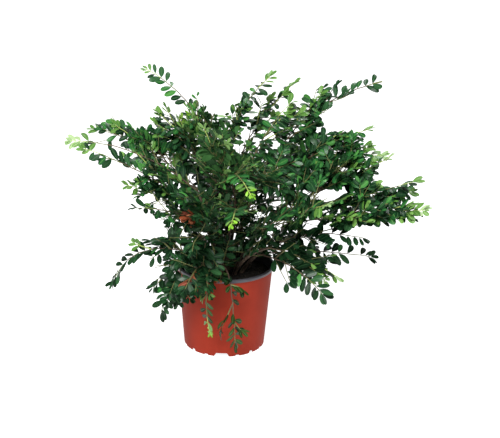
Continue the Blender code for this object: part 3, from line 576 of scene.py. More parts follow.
# Leaf colours, linear: three shades of each kind, its ribs and its underside. The gloss is the
# roughness and specular level of the upper side.
LeafKind = namedtuple("LeafKind", "slot gloss colours")
LEAF_KINDS = {
    "dark": LeafKind("dark_leaf", (0.33, 0.2), (
        (0.0045, 0.025, 0.008), (0.0095, 0.043, 0.014), (0.021, 0.073, 0.025),
        (0.05, 0.12, 0.045), (0.018, 0.05, 0.018),
    )),
    # Painted shade: the colours that dark leaves low in the crown take for the shade there.
    "painted_shade": LeafKind("dark_leaf", (0.38, 0.1), (
        (0.0022, 0.012, 0.0038), (0.0045, 0.021, 0.0065), (0.009, 0.037, 0.012),
        (0.024, 0.06, 0.022), (0.008, 0.026, 0.009),
    )),
    "mid": LeafKind("mid_leaf", (0.35, 0.22), (
        (0.012, 0.076, 0.018), (0.02, 0.11, 0.024), (0.044, 0.175, 0.034),
        (0.1, 0.25, 0.06), (0.032, 0.1, 0.026),
    )),
    "hanging": LeafKind("dark_leaf", (0.4, 0.12), (
        (0.006, 0.02, 0.004), (0.013, 0.034, 0.006), (0.024, 0.055, 0.012),
        (0.1, 0.16, 0.05), (0.018, 0.04, 0.012),
    )),
    "young": LeafKind("mid_leaf", (0.42, 0.3), (
        (0.055, 0.15, 0.022), (0.08, 0.19, 0.032), (0.115, 0.24, 0.05),
        (0.18, 0.32, 0.08), (0.13, 0.24, 0.07),
    )),
    "bright": LeafKind("mid_leaf", (0.45, 0.3), (
        (0.1, 0.25, 0.012), (0.14, 0.32, 0.02), (0.19, 0.4, 0.03),
        (0.3, 0.48, 0.08), (0.2, 0.36, 0.06),
    )),
    "pale": LeafKind("mid_leaf", (0.45, 0.3), (
        (0.15, 0.28, 0.08), (0.22, 0.35, 0.14), (0.3, 0.42, 0.2),
        (0.36, 0.46, 0.24), (0.28, 0.4, 0.18),
    )),
    "withered": LeafKind("dark_leaf", (0.7, 0.1), (
        (0.19, 0.04, 0.014), (0.14, 0.032, 0.018), (0.27, 0.09, 0.04),
        (0.3, 0.12, 0.06), (0.22, 0.09, 0.05),
    )),
}
UNDERSIDE_GLOSS = (0.6, 0.15)

# Moulded plastics, compost and bark. mottle and grain: a noise's scale, detail and stretch. stops:
# the mottle's colours. depth and strength: of the grain's bumps, or the mottle's if there is no grain.
Surface = namedtuple("Surface", "mottle stops roughness specular grain depth strength")
RED_PLASTIC = Surface(
    (42, 5), ((0.3, (0.225, 0.022, 0.01)), (0.7, (0.245, 0.024, 0.011))),
    0.6, 0.08, (900, 2), 0.06 * MM, 0.5,
)
DARK_PLASTIC = Surface(
    (60, 4), ((0.3, (0.034, 0.034, 0.042)), (0.7, (0.05, 0.049, 0.06))),
    0.42, 0.5, (900, 2), 0.05 * MM, 0.5,
)
COMPOST = Surface(
    (260, 8), ((0.3, (0.004, 0.0035, 0.003)), (0.58, (0.014, 0.011, 0.008)), (0.75, (0.05, 0.034, 0.02))),
    0.93, 0.25, (900, 6), 0.5 * MM, 1,
)
BARK = Surface(
    (420, 6, (1, 1, 0.18)),
    ((0.3, (0.03, 0.018, 0.012)), (0.52, (0.075, 0.048, 0.03)), (0.72, (0.14, 0.1, 0.065))),
    0.8, 0.5, None, 0.5 * MM, 1,
)

# Twig colours, linear, from old wood to this year's growth
TWIG_COLOURS = ((0.07, 0.045, 0.03), (0.1, 0.075, 0.042), (0.12, 0.13, 0.045), (0.3, 0.38, 0.1))


def unit(vector):
    return vector / np.linalg.norm(vector)


def polar(azimuth, reach, height):
    """The point at an azimuth in degrees, a reach from the axis and a height, in metres."""
    angle = math.radians(azimuth)
    return np.array([reach * math.cos(angle), reach * math.sin(angle), height])


def curve_points(start, corner, end, count):
    """Points on the arc from start to end whose end tangents meet at corner."""
    share = np.linspace(0, 1, count)[:, None]
    return (1 - share) ** 2 * start + 2 * share * (1 - share) * corner + share**2 * end


def lengths_along(points):
    steps = np.linalg.norm(np.diff(points, axis=0), axis=1)
    return np.concatenate([[0], np.cumsum(steps)])


def point_at(points, distance):
    along = lengths_along(points)
    return np.array([np.interp(distance, along, points[:, axis]) for axis in range(3)])


def direction_at(points, distance):
    length = lengths_along(points)[-1]
    ahead = point_at(points, min(distance + TANGENT_STEP, length))
    return unit(ahead - point_at(points, max(min(distance, length) - TANGENT_STEP, 0)))


def stem_points(stem):
    foot = polar(stem.foot_azimuth, stem.foot_radius * MM, SOIL_TOP + CLEARANCE)
    tip = polar(stem.azimuth, stem.reach * MM, stem.height * MM)
    corner = foot + (tip - foot) * np.array([STEM_LEAN, STEM_LEAN, STEM_RISE])
    return curve_points(foot, corner, tip, CURVE_SAMPLES)


def stem_radius(share):
    return STEM_FOOT_RADIUS + (STEM_TIP_RADIUS - STEM_FOOT_RADIUS) * share


def leader_points(shoot, stem):
    """The leader's arc, from its stem's axis to the tip of its furthest leaf."""
    length = lengths_along(stem)[-1]
    axis_point = point_at(stem, shoot.along * length)
    stem_way = direction_at(stem, min(shoot.along * length, length - TANGENT_STEP))
    tip = polar(shoot.azimuth, shoot.reach * MM, shoot.height * MM)
    outward = tip - axis_point
    outward[2] = 0
    aside = unit(np.array([-outward[1], outward[0], 0]))
    corner = axis_point + shoot.bend * outward + shoot.sweep * MM * aside
    corner[2] = shoot.crest * MM
    leader_way = unit(corner - axis_point)
    cosine = float(leader_way @ stem_way)
    if shoot.along == 1:
        tilt = math.sqrt(max(1 - cosine**2, 0))
        start = axis_point + stem_way * (CLEARANCE + SOURCE_LEADER_RADIUS * tilt)
    else:
        side = unit(leader_way - cosine * stem_way)
        reach = stem_radius(shoot.along) + CLEARANCE + SOURCE_LEADER_RADIUS * max(cosine, 0)
        start = axis_point + side * reach
    return axis_point, curve_points(start, corner, tip, CURVE_SAMPLES)


def ring_frames(points, first_side):
    """For each point of a path, its tangent and two directions square to it, without twist."""
    tangents = np.gradient(points, axis=0)
    tangents /= np.linalg.norm(tangents, axis=1)[:, None]
    side = first_side
    frames = []
    for tangent in tangents:
        side = unit(side - (side @ tangent) * tangent)
        frames.append((tangent, side, np.cross(tangent, side)))
    return frames


class Triangles:
    """Triangles gathered for one joined mesh, each with its material's number."""

    def __init__(self):
        self.points = []
        self.faces = []
        self.numbers = []
        self.count = 0

    def add(self, points, faces, numbers):
        self.points.append(np.asarray(points, float))
        self.faces.append(np.asarray(faces) + self.count)
        self.numbers.append(np.asarray(numbers))
        self.count += len(points)

    def mesh(self, name, smooth_angle):
        points = np.concatenate(self.points)
        faces = np.concatenate(self.faces).astype(np.int32)
        numbers = np.concatenate(self.numbers).astype(np.int32)
        mesh = bpy.data.meshes.new(name)
        mesh.vertices.add(len(points))
        mesh.vertices.foreach_set("co", points.astype(np.float32).ravel())
        mesh.loops.add(3 * len(faces))
        mesh.loops.foreach_set("vertex_index", faces.ravel())
        mesh.polygons.add(len(faces))
        mesh.polygons.foreach_set("loop_start", np.arange(0, 3 * len(faces), 3, dtype=np.int32))
        mesh.polygons.foreach_set("material_index", numbers)
        mesh.update(calc_edges=True)
        mesh.validate()
        mesh.shade_smooth()
        mesh.set_sharp_from_angle(angle=math.radians(smooth_angle))
        return mesh


def tube(points, radii, sides, first_side):
    """Vertices and triangles of a closed tube, with one radius for each ring or each of its corners."""
    angles = 2 * math.pi * np.arange(sides) / sides
    vertices = []
    for index, (_, side, other) in enumerate(ring_frames(points, first_side)):
        spokes = np.cos(angles)[:, None] * side + np.sin(angles)[:, None] * other
        vertices.append(points[index] + radii[index] * spokes)
    faces = []
    for ring in range(len(points) - 1):
        low = ring * sides
        for corner in range(sides):
            near, far = low + corner, low + (corner + 1) % sides
            faces.append((near, far, far + sides))
            faces.append((near, far + sides, near + sides))
    last = (len(points) - 1) * sides
    for corner in range(1, sides - 1):
        faces.append((0, corner + 1, corner))
        faces.append((last, last + corner, last + corner + 1))
    return np.concatenate(vertices), faces


def linked(name, data):
    """A new object in the scene."""
    obj = bpy.data.objects.new(name, data)
    bpy.context.scene.collection.objects.link(obj)
    return obj


def make_object(name, mesh, materials, nodes):
    """One shown piece, on the part's one body, in place of these nodes."""
    obj = linked(name, mesh)
    for material in materials:
        mesh.materials.append(material)
    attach(obj, "root")
    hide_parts(*nodes)
    return obj


def new_material(name, roughness, specular):
    material = bpy.data.materials.new(name)
    material.use_nodes = True
    shader = material.node_tree.nodes["Principled BSDF"]
    shader.inputs["Roughness"].default_value = roughness
    shader.inputs["Specular IOR Level"].default_value = specular
    return material, material.node_tree, shader


def plain_material(name, colour, gloss):
    material, _, shader = new_material(name, *gloss)
    shader.inputs["Base Color"].default_value = (*colour, 1)
    return material


# Crown


class Crown:
    """Where every leader and stem runs, and which leaves are placed already."""

    def __init__(self, stems, leaders):
        self.leader_points = np.concatenate(list(leaders.values()))
        self.owners = np.concatenate([[index] * CURVE_SAMPLES for index in range(len(leaders))])
        self.stem_points = np.concatenate(list(stems.values()))
        radii = stem_radius(np.linspace(0, 1, CURVE_SAMPLES))
        self.stem_radii = np.tile(radii, len(stems))
        self.cells = {}
        self.leaves = []
        self.wood = Triangles()

    def holds(self, owner, points, margin):
        """Whether all points lie in the owner's space and clear of stems, pot, compost and ground."""
        away = np.linalg.norm(points[:, None] - self.leader_points[None], axis=2)
        if owner is None:
            if (away < LEADER_ROOM).any():
                return False
        else:
            own = away[:, self.owners == owner].min(axis=1)
            other = away[:, self.owners != owner].min(axis=1)
            if (own > other + margin).any():
                return False
        from_stems = np.linalg.norm(points[:, None] - self.stem_points[None], axis=2)
        if (from_stems - self.stem_radii < LIMB_ROOM).any():
            return False
        radius = np.hypot(points[:, 0], points[:, 1])
        over_pot = (radius < LIP_RADIUS + POT_ROOM) & (points[:, 2] < POT_HEIGHT + POT_ROOM)
        return not (over_pot | (points[:, 2] < GROUND_ROOM)).any()

    def cell(self, point):
        return tuple(np.floor(point / LEAF_SPACING).astype(int))

    def is_free(self, point):
        """Whether no placed leaf has its middle close to this point."""
        column, row, level = self.cell(point)
        for i in (-1, 0, 1):
            for j in (-1, 0, 1):
                for k in (-1, 0, 1):
                    for other in self.cells.get((column + i, row + j, level + k), ()):
                        if np.linalg.norm(other - point) < LEAF_SPACING:
                            return False
        return True

    def place(self, point):
        self.cells.setdefault(self.cell(point), []).append(point)


Leaf = namedtuple("Leaf", "root way up length width kind shade fold bend twist")


def is_withered(point):
    """Whether a leaf's middle is at one of the few places where leaves have withered."""
    for azimuth, reach, height, radius in WITHERED:
        if np.linalg.norm(point - polar(azimuth, reach * MM, height * MM)) < radius * MM:
            return True
    return False


def picture_place(point):
    """Where a point shows in the photo, in its pixels."""
    pitch, roll = math.radians(CAMERA_PITCH), math.radians(CAMERA_ROLL)
    x, y, z = point - np.array(CAMERA_PLACE)
    depth = y * math.cos(pitch) - z * math.sin(pitch)
    rise = y * math.sin(pitch) + z * math.cos(pitch)
    scale = PICTURE_SIZE[0] * CAMERA_LENS / CAMERA_SENSOR / depth
    across = scale * (x * math.cos(roll) + rise * math.sin(roll))
    up = scale * (rise * math.cos(roll) - x * math.sin(roll))
    return PICTURE_SIZE[0] / 2 + across, PICTURE_SIZE[1] / 2 - up


def shows_in(point, areas):
    """Whether the point shows inside one of these convex areas of the picture."""
    across, down = picture_place(point)
    for corners in areas:
        turns = []
        for (x1, y1), (x2, y2) in zip(corners, corners[1:] + corners[:1]):
            turns.append((x2 - x1) * (down - y1) - (y2 - y1) * (across - x1) > 0)
        if all(turns):
            return True
    return False


def turned_about(vector, axis, degrees):
    angle = math.radians(degrees)
    return (
        math.cos(angle) * vector
        + math.sin(angle) * np.cross(axis, vector)
        + (1 - math.cos(angle)) * (axis @ vector) * axis
    )


def forked(path, station, side, up, angle, lift):
    """The path's way at a station, the way of what forks off there, and up from both. Degrees."""
    way = direction_at(path, station)
    across = unit(np.cross(way, up))
    upward = np.cross(across, way)
    angle, lift = math.radians(angle), math.radians(lift)
    flat_way = math.cos(angle) * way + math.sin(angle) * side * across
    return way, unit(math.cos(lift) * flat_way + math.sin(lift) * upward), upward


class Growth:
    """Grows shoots in one mass, or the inner shoots of one stem: wood with paired leaves."""

    def __init__(self, crown, owner, look, seed):
        self.crown = crown
        self.owner = owner
        self.look = look
        self.random = random.Random(seed)

    def between(self, spread):
        return self.random.uniform(*spread)

    def about(self, spread):
        return self.random.uniform(-spread, spread)

    def spray_up(self, leader):
        """The direction that the flat spray faces: up, with a seeded tilt and its lean to the front."""
        way = unit(leader[-1] - leader[0])
        across = unit(np.cross(way, [0, 0, 1]))
        tilt = math.radians(self.about(SPRAY_TILT))
        up = unit(math.cos(tilt) * np.cross(across, way) + math.sin(tilt) * across)
        front = np.array([0, -1.0, 0])
        front -= (front @ way) * way
        lean = math.radians(self.look.lean)
        return unit(math.cos(lean) * up + math.sin(lean) * front)

    def grow_leader(self, axis_point, leader):
        """The leader with its leaves and twigs, in a flat spray."""
        up = self.spray_up(leader)
        cut = self.look.tip == "cut"
        total = lengths_along(leader)[-1] - (0 if cut else TIP_ROOM)
        count = max(6, round(total / LEADER_RING_GAP))
        path = np.array([point_at(leader, place) for place in np.linspace(0, total, count)])
        path[1:-1] += self.kinks(count - 2, KINK)
        radii = np.linspace(*WOOD_RADII[0], count)
        if cut:
            radii = np.maximum(radii, THINNEST_CUT * CUT_RADIUS)
            path = np.concatenate([path[:-1], [point_at(leader, total - CUT_LENGTH)], path[-1:]])
            radii = np.concatenate([radii[:-1], [CUT_RADIUS, CUT_RADIUS]])
        self.add_wood(np.concatenate([[axis_point], path]), np.concatenate([radii[:1], radii]), 0)
        length = lengths_along(path)[-1]
        for back in self.nodes_back(length, self.look.gap * MM):
            if cut and back < CUT_BARE:
                continue
            station = length - back
            for side in (-1, 1):
                if back > self.look.bare * MM and self.random.random() < TWIG_SHARE:
                    self.add_twig(path, station, side, up, 1)
            self.add_pair(path, station, back, up)

    def grow_inner(self, stem):
        """Short leafy shoots in pairs up a stem, each pair square to the one below."""
        length = lengths_along(stem)[-1]
        station = INNER_FIRST_NODE * self.between(INNER_START)
        turn = self.random.uniform(0, 360)
        while station < length - INNER_FIRST_NODE:
            way = direction_at(stem, station)
            first = unit(np.cross(way, INNER_SIDE))
            for side in (0, 180):
                aside = turned_about(first, way, turn + side + self.about(INNER_SWING))
                angle = math.radians(self.between(INNER_ANGLE))
                shoot_way = unit(math.cos(angle) * way + math.sin(angle) * aside)
                root = point_at(stem, station)
                path = self.held_path(root, shoot_way, way, self.between(INNER_LENGTH))
                if path is not None:
                    up = unit(np.cross(np.cross(shoot_way, way + [0, 0, 1.0]), shoot_way))
                    self.leafy_twig(path, up, 1)
            turn += 90
            station += INNER_NODE_GAP * self.between(NODE_GAP_SPREAD)

    def kinks(self, count, size):
        """Small seeded steps aside, which make a path zigzag from node to node."""
        return np.array([[self.about(size) for _ in range(3)] for _ in range(count)])

    def nodes_back(self, length, gap):
        """The places of the nodes, as distances back from the shoot's end."""
        back, step, nodes = TIP_NODE, TIP_NODE_GAP, []
        while back < length - FIRST_NODE:
            nodes.append(back)
            back += step * self.between(NODE_GAP_SPREAD)
            step = min(step * TIP_NODE_GROWTH, gap)
        return nodes

    def add_wood(self, path, radii, order):
        """A tube, coloured from old wood to this year's growth towards its end."""
        first_side = unit(np.cross(path[1] - path[0], WOOD_SIDE))
        points, faces = tube(path, radii, WOOD_SIDES, first_side)
        left = lengths_along(path)[-1] - lengths_along(path)
        light = self.look.young > 0 and order == 0 and self.look.tip != "withered"
        numbers = []
        for ring in range(len(path) - 1):
            number = sum(left[ring] < place * (YOUNG_WOOD if light else 1) for place in OLD_WOOD_FROM)
            numbers += [min(number, 3 if light else 2)] * (2 * WOOD_SIDES)
        numbers += [numbers[0], numbers[-1]] * (WOOD_SIDES - 2)
        self.crown.wood.add(points, faces, numbers)

    def add_twig(self, path, station, side, up, order):
        """A twig on a leader, as the rule of the solids has it, or a sprig on a twig."""
        angle = TWIG_ANGLE + self.about(TWIG_ANGLE_SPREAD)
        way, twig_way, _ = forked(path, station, side, up, angle, self.between(TWIG_LIFT))
        if order == 1:
            share = station / lengths_along(path)[-1]
            fullness = min(1, TWIG_INNER_FULLNESS + TWIG_SWELL * share) * (1 - TWIG_TAPER * share)
            length = TWIG_LENGTH * fullness * self.look.twigs * self.between(TWIG_LENGTH_SPREAD)
        else:
            length = self.between(SPRIG_LENGTH)
        twig = self.held_path(point_at(path, station), twig_way, way, length)
        if twig is not None:
            self.leafy_twig(twig, turned_about(up, twig_way, self.about(TWIG_ROLL)), order)

    def leafy_twig(self, path, up, order):
        """A twig's wood, leaves and sprigs."""
        self.add_wood(path, np.linspace(*WOOD_RADII[order], len(path)), order)
        length = lengths_along(path)[-1]
        fresh = self.random.random() < self.look.fresh
        for back in self.nodes_back(length, TWIG_NODE_GAP):
            station = length - back
            if order == 1 and back > SPRIG_BARE and self.random.random() < SPRIG_SHARE:
                self.add_twig(path, station, self.random.choice((-1, 1)), up, 2)
            self.add_pair(path, station, back, up, fresh, order)

    def held_path(self, root, way, parent_way, length):
        """A gently bent path for a twig, cut shorter until it keeps to the mass's space, or None."""
        swing = math.tan(math.radians(self.random.uniform(0, TWIG_SWING)))
        sag = self.between(TWIG_SAG)
        for cut in TWIG_CUTS:
            reach = length * cut
            if reach < TWIG_SHORTEST:
                return None
            corner = root + 0.5 * reach * way
            tip = corner + 0.5 * reach * unit(way + swing * parent_way) + np.array([0, 0, sag * reach])
            path = curve_points(root, corner, tip, TWIG_RINGS)
            if any(shows_in(point, BAYS) for point in path[3:]):
                continue
            if self.crown.holds(self.owner, path[2:], TWIG_MARGIN):
                path[1:-1] += self.kinks(TWIG_RINGS - 2, 0.5 * KINK)
                return path
        return None

    def add_pair(self, path, station, back, up, fresh=None, order=0):
        """Two leaves across from each other, smaller and closer to the shoot near its end."""
        full = min(1, back / LEAF_FULL_FROM)
        size = self.look.end + (1 - self.look.end) * full
        spread = LEAF_TIP_ANGLE + (LEAF_ANGLE - LEAF_TIP_ANGLE) * min(1, LEAF_OPENING * full)
        for side in (-1, 1):
            kind = self.leaf_kind(back, fresh, order)
            leaf_size = size * self.look.leaf * self.between(LEAF_LENGTH_SPREAD)
            for _ in range(LEAF_TRIES):
                angle, lift = spread + self.about(LEAF_ANGLE_SPREAD), self.between(LEAF_LIFT)
                roll = self.about(LEAF_ROLL)
                _, leaf_way, upward = forked(path, station, side, up, angle, lift)
                if back > LEAF_LEVEL_FROM:
                    leaf_way = unit(leaf_way * np.array([1, 1, 1 - LEAF_LEVELLING * self.look.flat]))
                leaf_up = self.leaf_up(leaf_way, upward, math.radians(roll))
                if self.place_leaf(point_at(path, station), leaf_way, leaf_up, leaf_size, kind, back):
                    break

    def leaf_kind(self, back, fresh, order):
        """The kind of a leaf: lighter near the end of a shoot that has young growth."""
        share = 1 if order == 0 else YOUNG_ON_TWIGS
        young = self.look.young * MM * share * self.between(YOUNG_SPREAD)
        if back < 0.5 * young and order == 0:
            return self.look.tip
        if back < young:
            return "young"
        if self.look.body:
            return self.look.body
        if fresh is None:
            fresh = self.random.random() < self.look.fresh
        if self.random.random() < ODD_LEAVES:
            fresh = not fresh
        return "mid" if fresh else "dark"

    def painted_shade_kind(self, kind, height):
        """The leaf's kind, or a darker one for most leaves low in the crown, as painted shade."""
        high, low = PAINTED_SHADE_BELOW
        share = PAINTED_SHADE_SHARE * min(1, max(0, (high - height) / (high - low)))
        if self.random.random() < share:
            return {"mid": "dark", "dark": "painted_shade"}.get(kind, kind)
        return kind

    def leaf_up(self, way, upward, roll):
        """The way that a leaf faces: rolled a little, and turned level as far as its shoot's look says."""
        side = unit(np.cross(way, upward))
        rolled = math.cos(roll) * np.cross(side, way) + math.sin(roll) * side
        level = LEVEL_WAY - (LEVEL_WAY @ way) * way
        return unit((1 - self.look.flat) * rolled + self.look.flat * level)

    def place_leaf(self, root, way, up, size, kind, back):
        """Whether the leaf has found room, or is left out for an open area."""
        for cut in LEAF_SIZES:
            length = size * cut * LEAF_LENGTH
            width = length * LEAF_SLENDERNESS * self.between(LEAF_WIDTH_SPREAD)
            side, start = unit(np.cross(way, up)), root + PETIOLE * way
            tests = np.array([start + i * length * way + j * width * side for i, j in LEAF_TESTS])
            if not self.crown.holds(self.owner, tests, LEAF_MARGIN):
                continue
            middle = root + (PETIOLE + 0.5 * length) * way
            if back > TIP_SPACING_FROM and not self.crown.is_free(middle):
                continue
            if shows_in(middle, BAYS + GAPS) or shows_in(middle + LEAF_OUTER * length * way, BAYS):
                return True
            self.crown.place(middle)
            # Leaves low in the crown take a darker kind: painted shade.
            kind = "withered" if is_withered(middle) else self.painted_shade_kind(kind, middle[2])
            shade = self.random.randrange(3)
            fold = self.between(LEAF_FOLD)
            bend = math.radians(self.between(LEAF_BEND))
            twist = math.radians(self.about(LEAF_TWIST))
            self.crown.leaves.append(Leaf(root, way, up, length, width, kind, shade, fold, bend, twist))
            return True
        return False


def leaf_half_width(share):
    """The outline's half width at a share of the leaf's length, 1 at its widest."""
    widest = LEAF_BASE_POWER / (LEAF_BASE_POWER + LEAF_TIP_POWER)
    most = widest**LEAF_BASE_POWER * (1 - widest) ** LEAF_TIP_POWER
    value = share**LEAF_BASE_POWER * (1 - share) ** LEAF_TIP_POWER / most
    return max(value, LEAF_BASE_WIDTH)


def leaf_faces():
    """The triangles of one leaf and what each is: 0 blade, 1 rib or stalk, 2 underside."""
    across, rows = len(LEAF_ACROSS), len(LEAF_ROWS)
    per_row = across + 1
    tip = rows * per_row
    left, right, below = tip + 1, tip + 2, tip + 3
    faces, parts = [], []

    def add(part, *triangles):
        faces.extend(triangles)
        parts.extend([part] * len(triangles))

    rib = across // 2 - 1
    for row in range(rows - 1):
        low, high = row * per_row, (row + 1) * per_row
        for column in range(across - 1):
            part = 1 if column == rib else 0
            add(part, (low + column, low + column + 1, high + column + 1))
            add(part, (low + column, high + column + 1, high + column))
        under_low, under_high = low + across, high + across
        add(2, (low, high, under_high), (low, under_high, under_low))
        add(2, (under_low, under_high, high + across - 1), (under_low, high + across - 1, low + across - 1))
    last = (rows - 1) * per_row
    for column in range(across - 1):
        add(1 if column == rib else 0, (last + column, last + column + 1, tip))
    add(2, (last, tip, last + across), (last + across, tip, last + across - 1))
    for column in range(rib + 1):
        add(1, (left, column + 1, column))
        add(1, (right, column + rib + 2, column + rib + 1))
    add(1, (left, right, rib + 1), (left, below, right))
    add(1, (left, 0, across), (left, across, below))
    add(1, (below, across, across - 1), (below, across - 1, right))
    return np.array(faces), np.array(parts)


def leaf_vertices(leaves):
    """The vertices of many leaves at once, as an array of leaf, vertex and axis."""
    every = Leaf(*(np.array(values) for values in zip(*leaves)))
    side = np.cross(every.way, every.up)
    bend = np.where(np.abs(every.bend) < LEAF_LEAST_BEND, LEAF_LEAST_BEND, every.bend)

    def placed(share, aside, height):
        """World points at a share of the length, a distance aside and one above the blade."""
        turn, bent = every.twist * share, bend * share
        turned_aside = np.cos(turn) * aside - np.sin(turn) * height
        turned_height = np.sin(turn) * aside + np.cos(turn) * height
        along = every.length * np.sin(bent) / bend + turned_height * np.sin(bent)
        rise = turned_height * np.cos(bent) - every.length * (1 - np.cos(bent)) / bend
        start = every.root + PETIOLE * every.way
        return start + along[:, None] * every.way + turned_aside[:, None] * side + rise[:, None] * every.up

    vertices = []
    for share in LEAF_ROWS:
        width = leaf_half_width(share) * 0.5 * every.width
        for across in LEAF_ACROSS:
            height = abs(across) * every.fold * width - LEAF_CROWN * across**2 * width
            groove = RIB_GROOVE if abs(across) < RIB_HALF else 0
            vertices.append(placed(share, across * width, height - groove))
        vertices.append(placed(share, 0, -LEAF_THICKNESS - RIB_GROOVE))
    vertices.append(placed(1.0, 0, 0))
    for sideways, rise in STALK_CORNERS:
        vertices.append(every.root + PETIOLE_RADIUS * (sideways * side + rise * every.up))
    return np.stack(vertices, axis=1)


def make_leaves(leaves, mass_names):
    """The leaves of each kind, joined into pieces under the limit on triangles."""
    faces, parts = leaf_faces()
    per_leaf = int(faces.max()) + 1
    most = PIECE_TRIANGLES // len(faces)
    for kind, look in LEAF_KINDS.items():
        chosen = [leaf for leaf in leaves if leaf.kind == kind]
        materials = []
        for name, colour in zip(("shade_1", "shade_2", "shade_3", "rib", "underside"), look.colours):
            gloss = UNDERSIDE_GLOSS if name == "underside" else look.gloss
            materials.append(plain_material(f"{kind}_leaf_{name}", colour, gloss))
        for piece, start in enumerate(range(0, len(chosen), most)):
            group = chosen[start : start + most]
            shades = np.array([leaf.shade for leaf in group])
            offsets = per_leaf * np.arange(len(group))
            all_faces = (faces[None] + offsets[:, None, None]).reshape(-1, 3)
            numbers = np.where(parts[None] == 0, shades[:, None], parts[None] + 2).ravel()
            gathered = Triangles()
            gathered.add(leaf_vertices(group).reshape(-1, 3), all_faces, numbers)
            name = f"{kind}_leaves_{piece + 1}"
            make_object(name, gathered.mesh(name, LEAF_SMOOTH), materials, mass_names)


def side_points(side, parent):
    """Where a side shoot leaves its parent, and its arc from there to its tip."""
    start = point_at(parent, side.along * lengths_along(parent)[-1])
    tip = polar(side.azimuth, side.reach * MM, side.height * MM)
    corner = 0.5 * (start + tip) + np.array([0, 0, side.rise * MM])
    points = curve_points(start, corner, tip, CURVE_SAMPLES)
    return start, points[1:]


def make_crown(stems):
    shoots = [Shoot(*row) for row in SHOOTS]
    starts = [leader_points(shoot, stems[shoot.stem]) for shoot in shoots]
    leaders = {shoot.name: leader for shoot, (_, leader) in zip(shoots, starts)}
    crown = Crown(stems, leaders)
    for owner, shoot in enumerate(shoots):
        growth = Growth(crown, owner, LOOKS.get(shoot.name, BACK_LOOK), LEADER_SEED + owner)
        growth.grow_leader(*starts[owner])
    for number, row in enumerate(SIDE_SHOOTS):
        side = SideShoot(*row)
        growth = Growth(crown, None, side.look, SIDE_SEED + number)
        growth.grow_leader(*side_points(side, leaders[side.parent]))
    for number, stem in enumerate(stems.values()):
        Growth(crown, None, INNER_LOOK, INNER_SEED + number).grow_inner(stem)
    mass_names = list(leaders)
    make_leaves(crown.leaves, mass_names)
    materials = []
    for number, colour in enumerate(TWIG_COLOURS):
        materials.append(plain_material(f"twig_{number}", colour, WOOD_GLOSS))
    make_object("twigs", crown.wood.mesh("twigs", WOOD_SMOOTH), materials, mass_names)


# Stems


def bark_radius(radius, angle, station, phase):
    """The radius at one point of a stem, with ridges, lumps and a swelling at each node."""
    x, y = math.cos(angle), math.sin(angle)
    place = Vector((RIDGE_ROUND * x, RIDGE_ROUND * y, station * RIDGE_ALONG + phase))
    ridges = noise.noise(place * RIDGE_SCALE) * BARK_RIDGES
    lumps = noise.noise(Vector((x, y, station * LUMP_ALONG + phase))) * BARK_LUMPS
    to_node = station % NODE_SPACING - 0.5 * NODE_SPACING
    swelling = NODE_SWELLING * math.exp(-((to_node / NODE_SWELLING_LENGTH) ** 2))
    return radius * (1 + ridges + lumps + swelling)


def make_stems(stems):
    gathered = Triangles()
    angles = 2 * math.pi * np.arange(STEM_SIDES) / STEM_SIDES
    for number, points in enumerate(stems.values()):
        length = lengths_along(points)[-1]
        rings = round((length + STEM_SUNK) / STEM_RING_GAP)
        stations = np.linspace(0, length, rings)
        path = np.array([point_at(points, station) for station in stations])
        path[0] -= STEM_SUNK * unit(path[1] - path[0])
        radii = []
        for station in stations:
            radius = stem_radius(station / length)
            radius *= 1 + (STEM_FLARE - 1) * max(0, 1 - station / STEM_FLARE_HEIGHT)
            radii.append([[bark_radius(radius, angle, station, BARK_PHASE * number)] for angle in angles])
        vertices, faces = tube(path, np.array(radii), STEM_SIDES, np.array([1.0, 0, 0]))
        gathered.add(vertices, faces, [0] * len(faces))
    mesh = gathered.mesh("bark_stems", STEM_SMOOTH)
    make_object("bark_stems", mesh, [surface_material("bark_of_stems", BARK)], list(stems))


# Pot


def turned(name, profile, steps):
    """A closed solid: the profile's (radius, height) points turned about +Z."""
    shape = bmesh.new()
    points = [shape.verts.new((radius, 0, height)) for radius, height in profile]
    for first, second in zip(points, points[1:]):
        shape.edges.new((first, second))
    bmesh.ops.spin(
        shape,
        geom=shape.verts[:] + shape.edges[:],
        cent=(0, 0, 0),
        axis=(0, 0, 1),
        angle=2 * math.pi,
        steps=steps,
        use_merge=True,
    )
    bmesh.ops.remove_doubles(shape, verts=shape.verts, dist=SEAM)
    bmesh.ops.recalc_face_normals(shape, faces=shape.faces)
    mesh = bpy.data.meshes.new(name)
    shape.to_mesh(mesh)
    shape.free()
    return mesh


def wall_radius(height):
    """The outer radius of the pot's tapered wall."""
    share = height / (POT_HEIGHT - LIP_DEPTH)
    return BASE_RADIUS + (SHOULDER_RADIUS - BASE_RADIUS) * share


def inner_radius(height):
    return wall_radius(height) - WALL


def arc(centre, radius, start, end, steps):
    """Points of a profile on an arc, with its angles in degrees."""
    angles = [math.radians(start + (end - start) * step / steps) for step in range(steps + 1)]
    return [(centre[0] + radius * math.cos(a), centre[1] + radius * math.sin(a)) for a in angles]


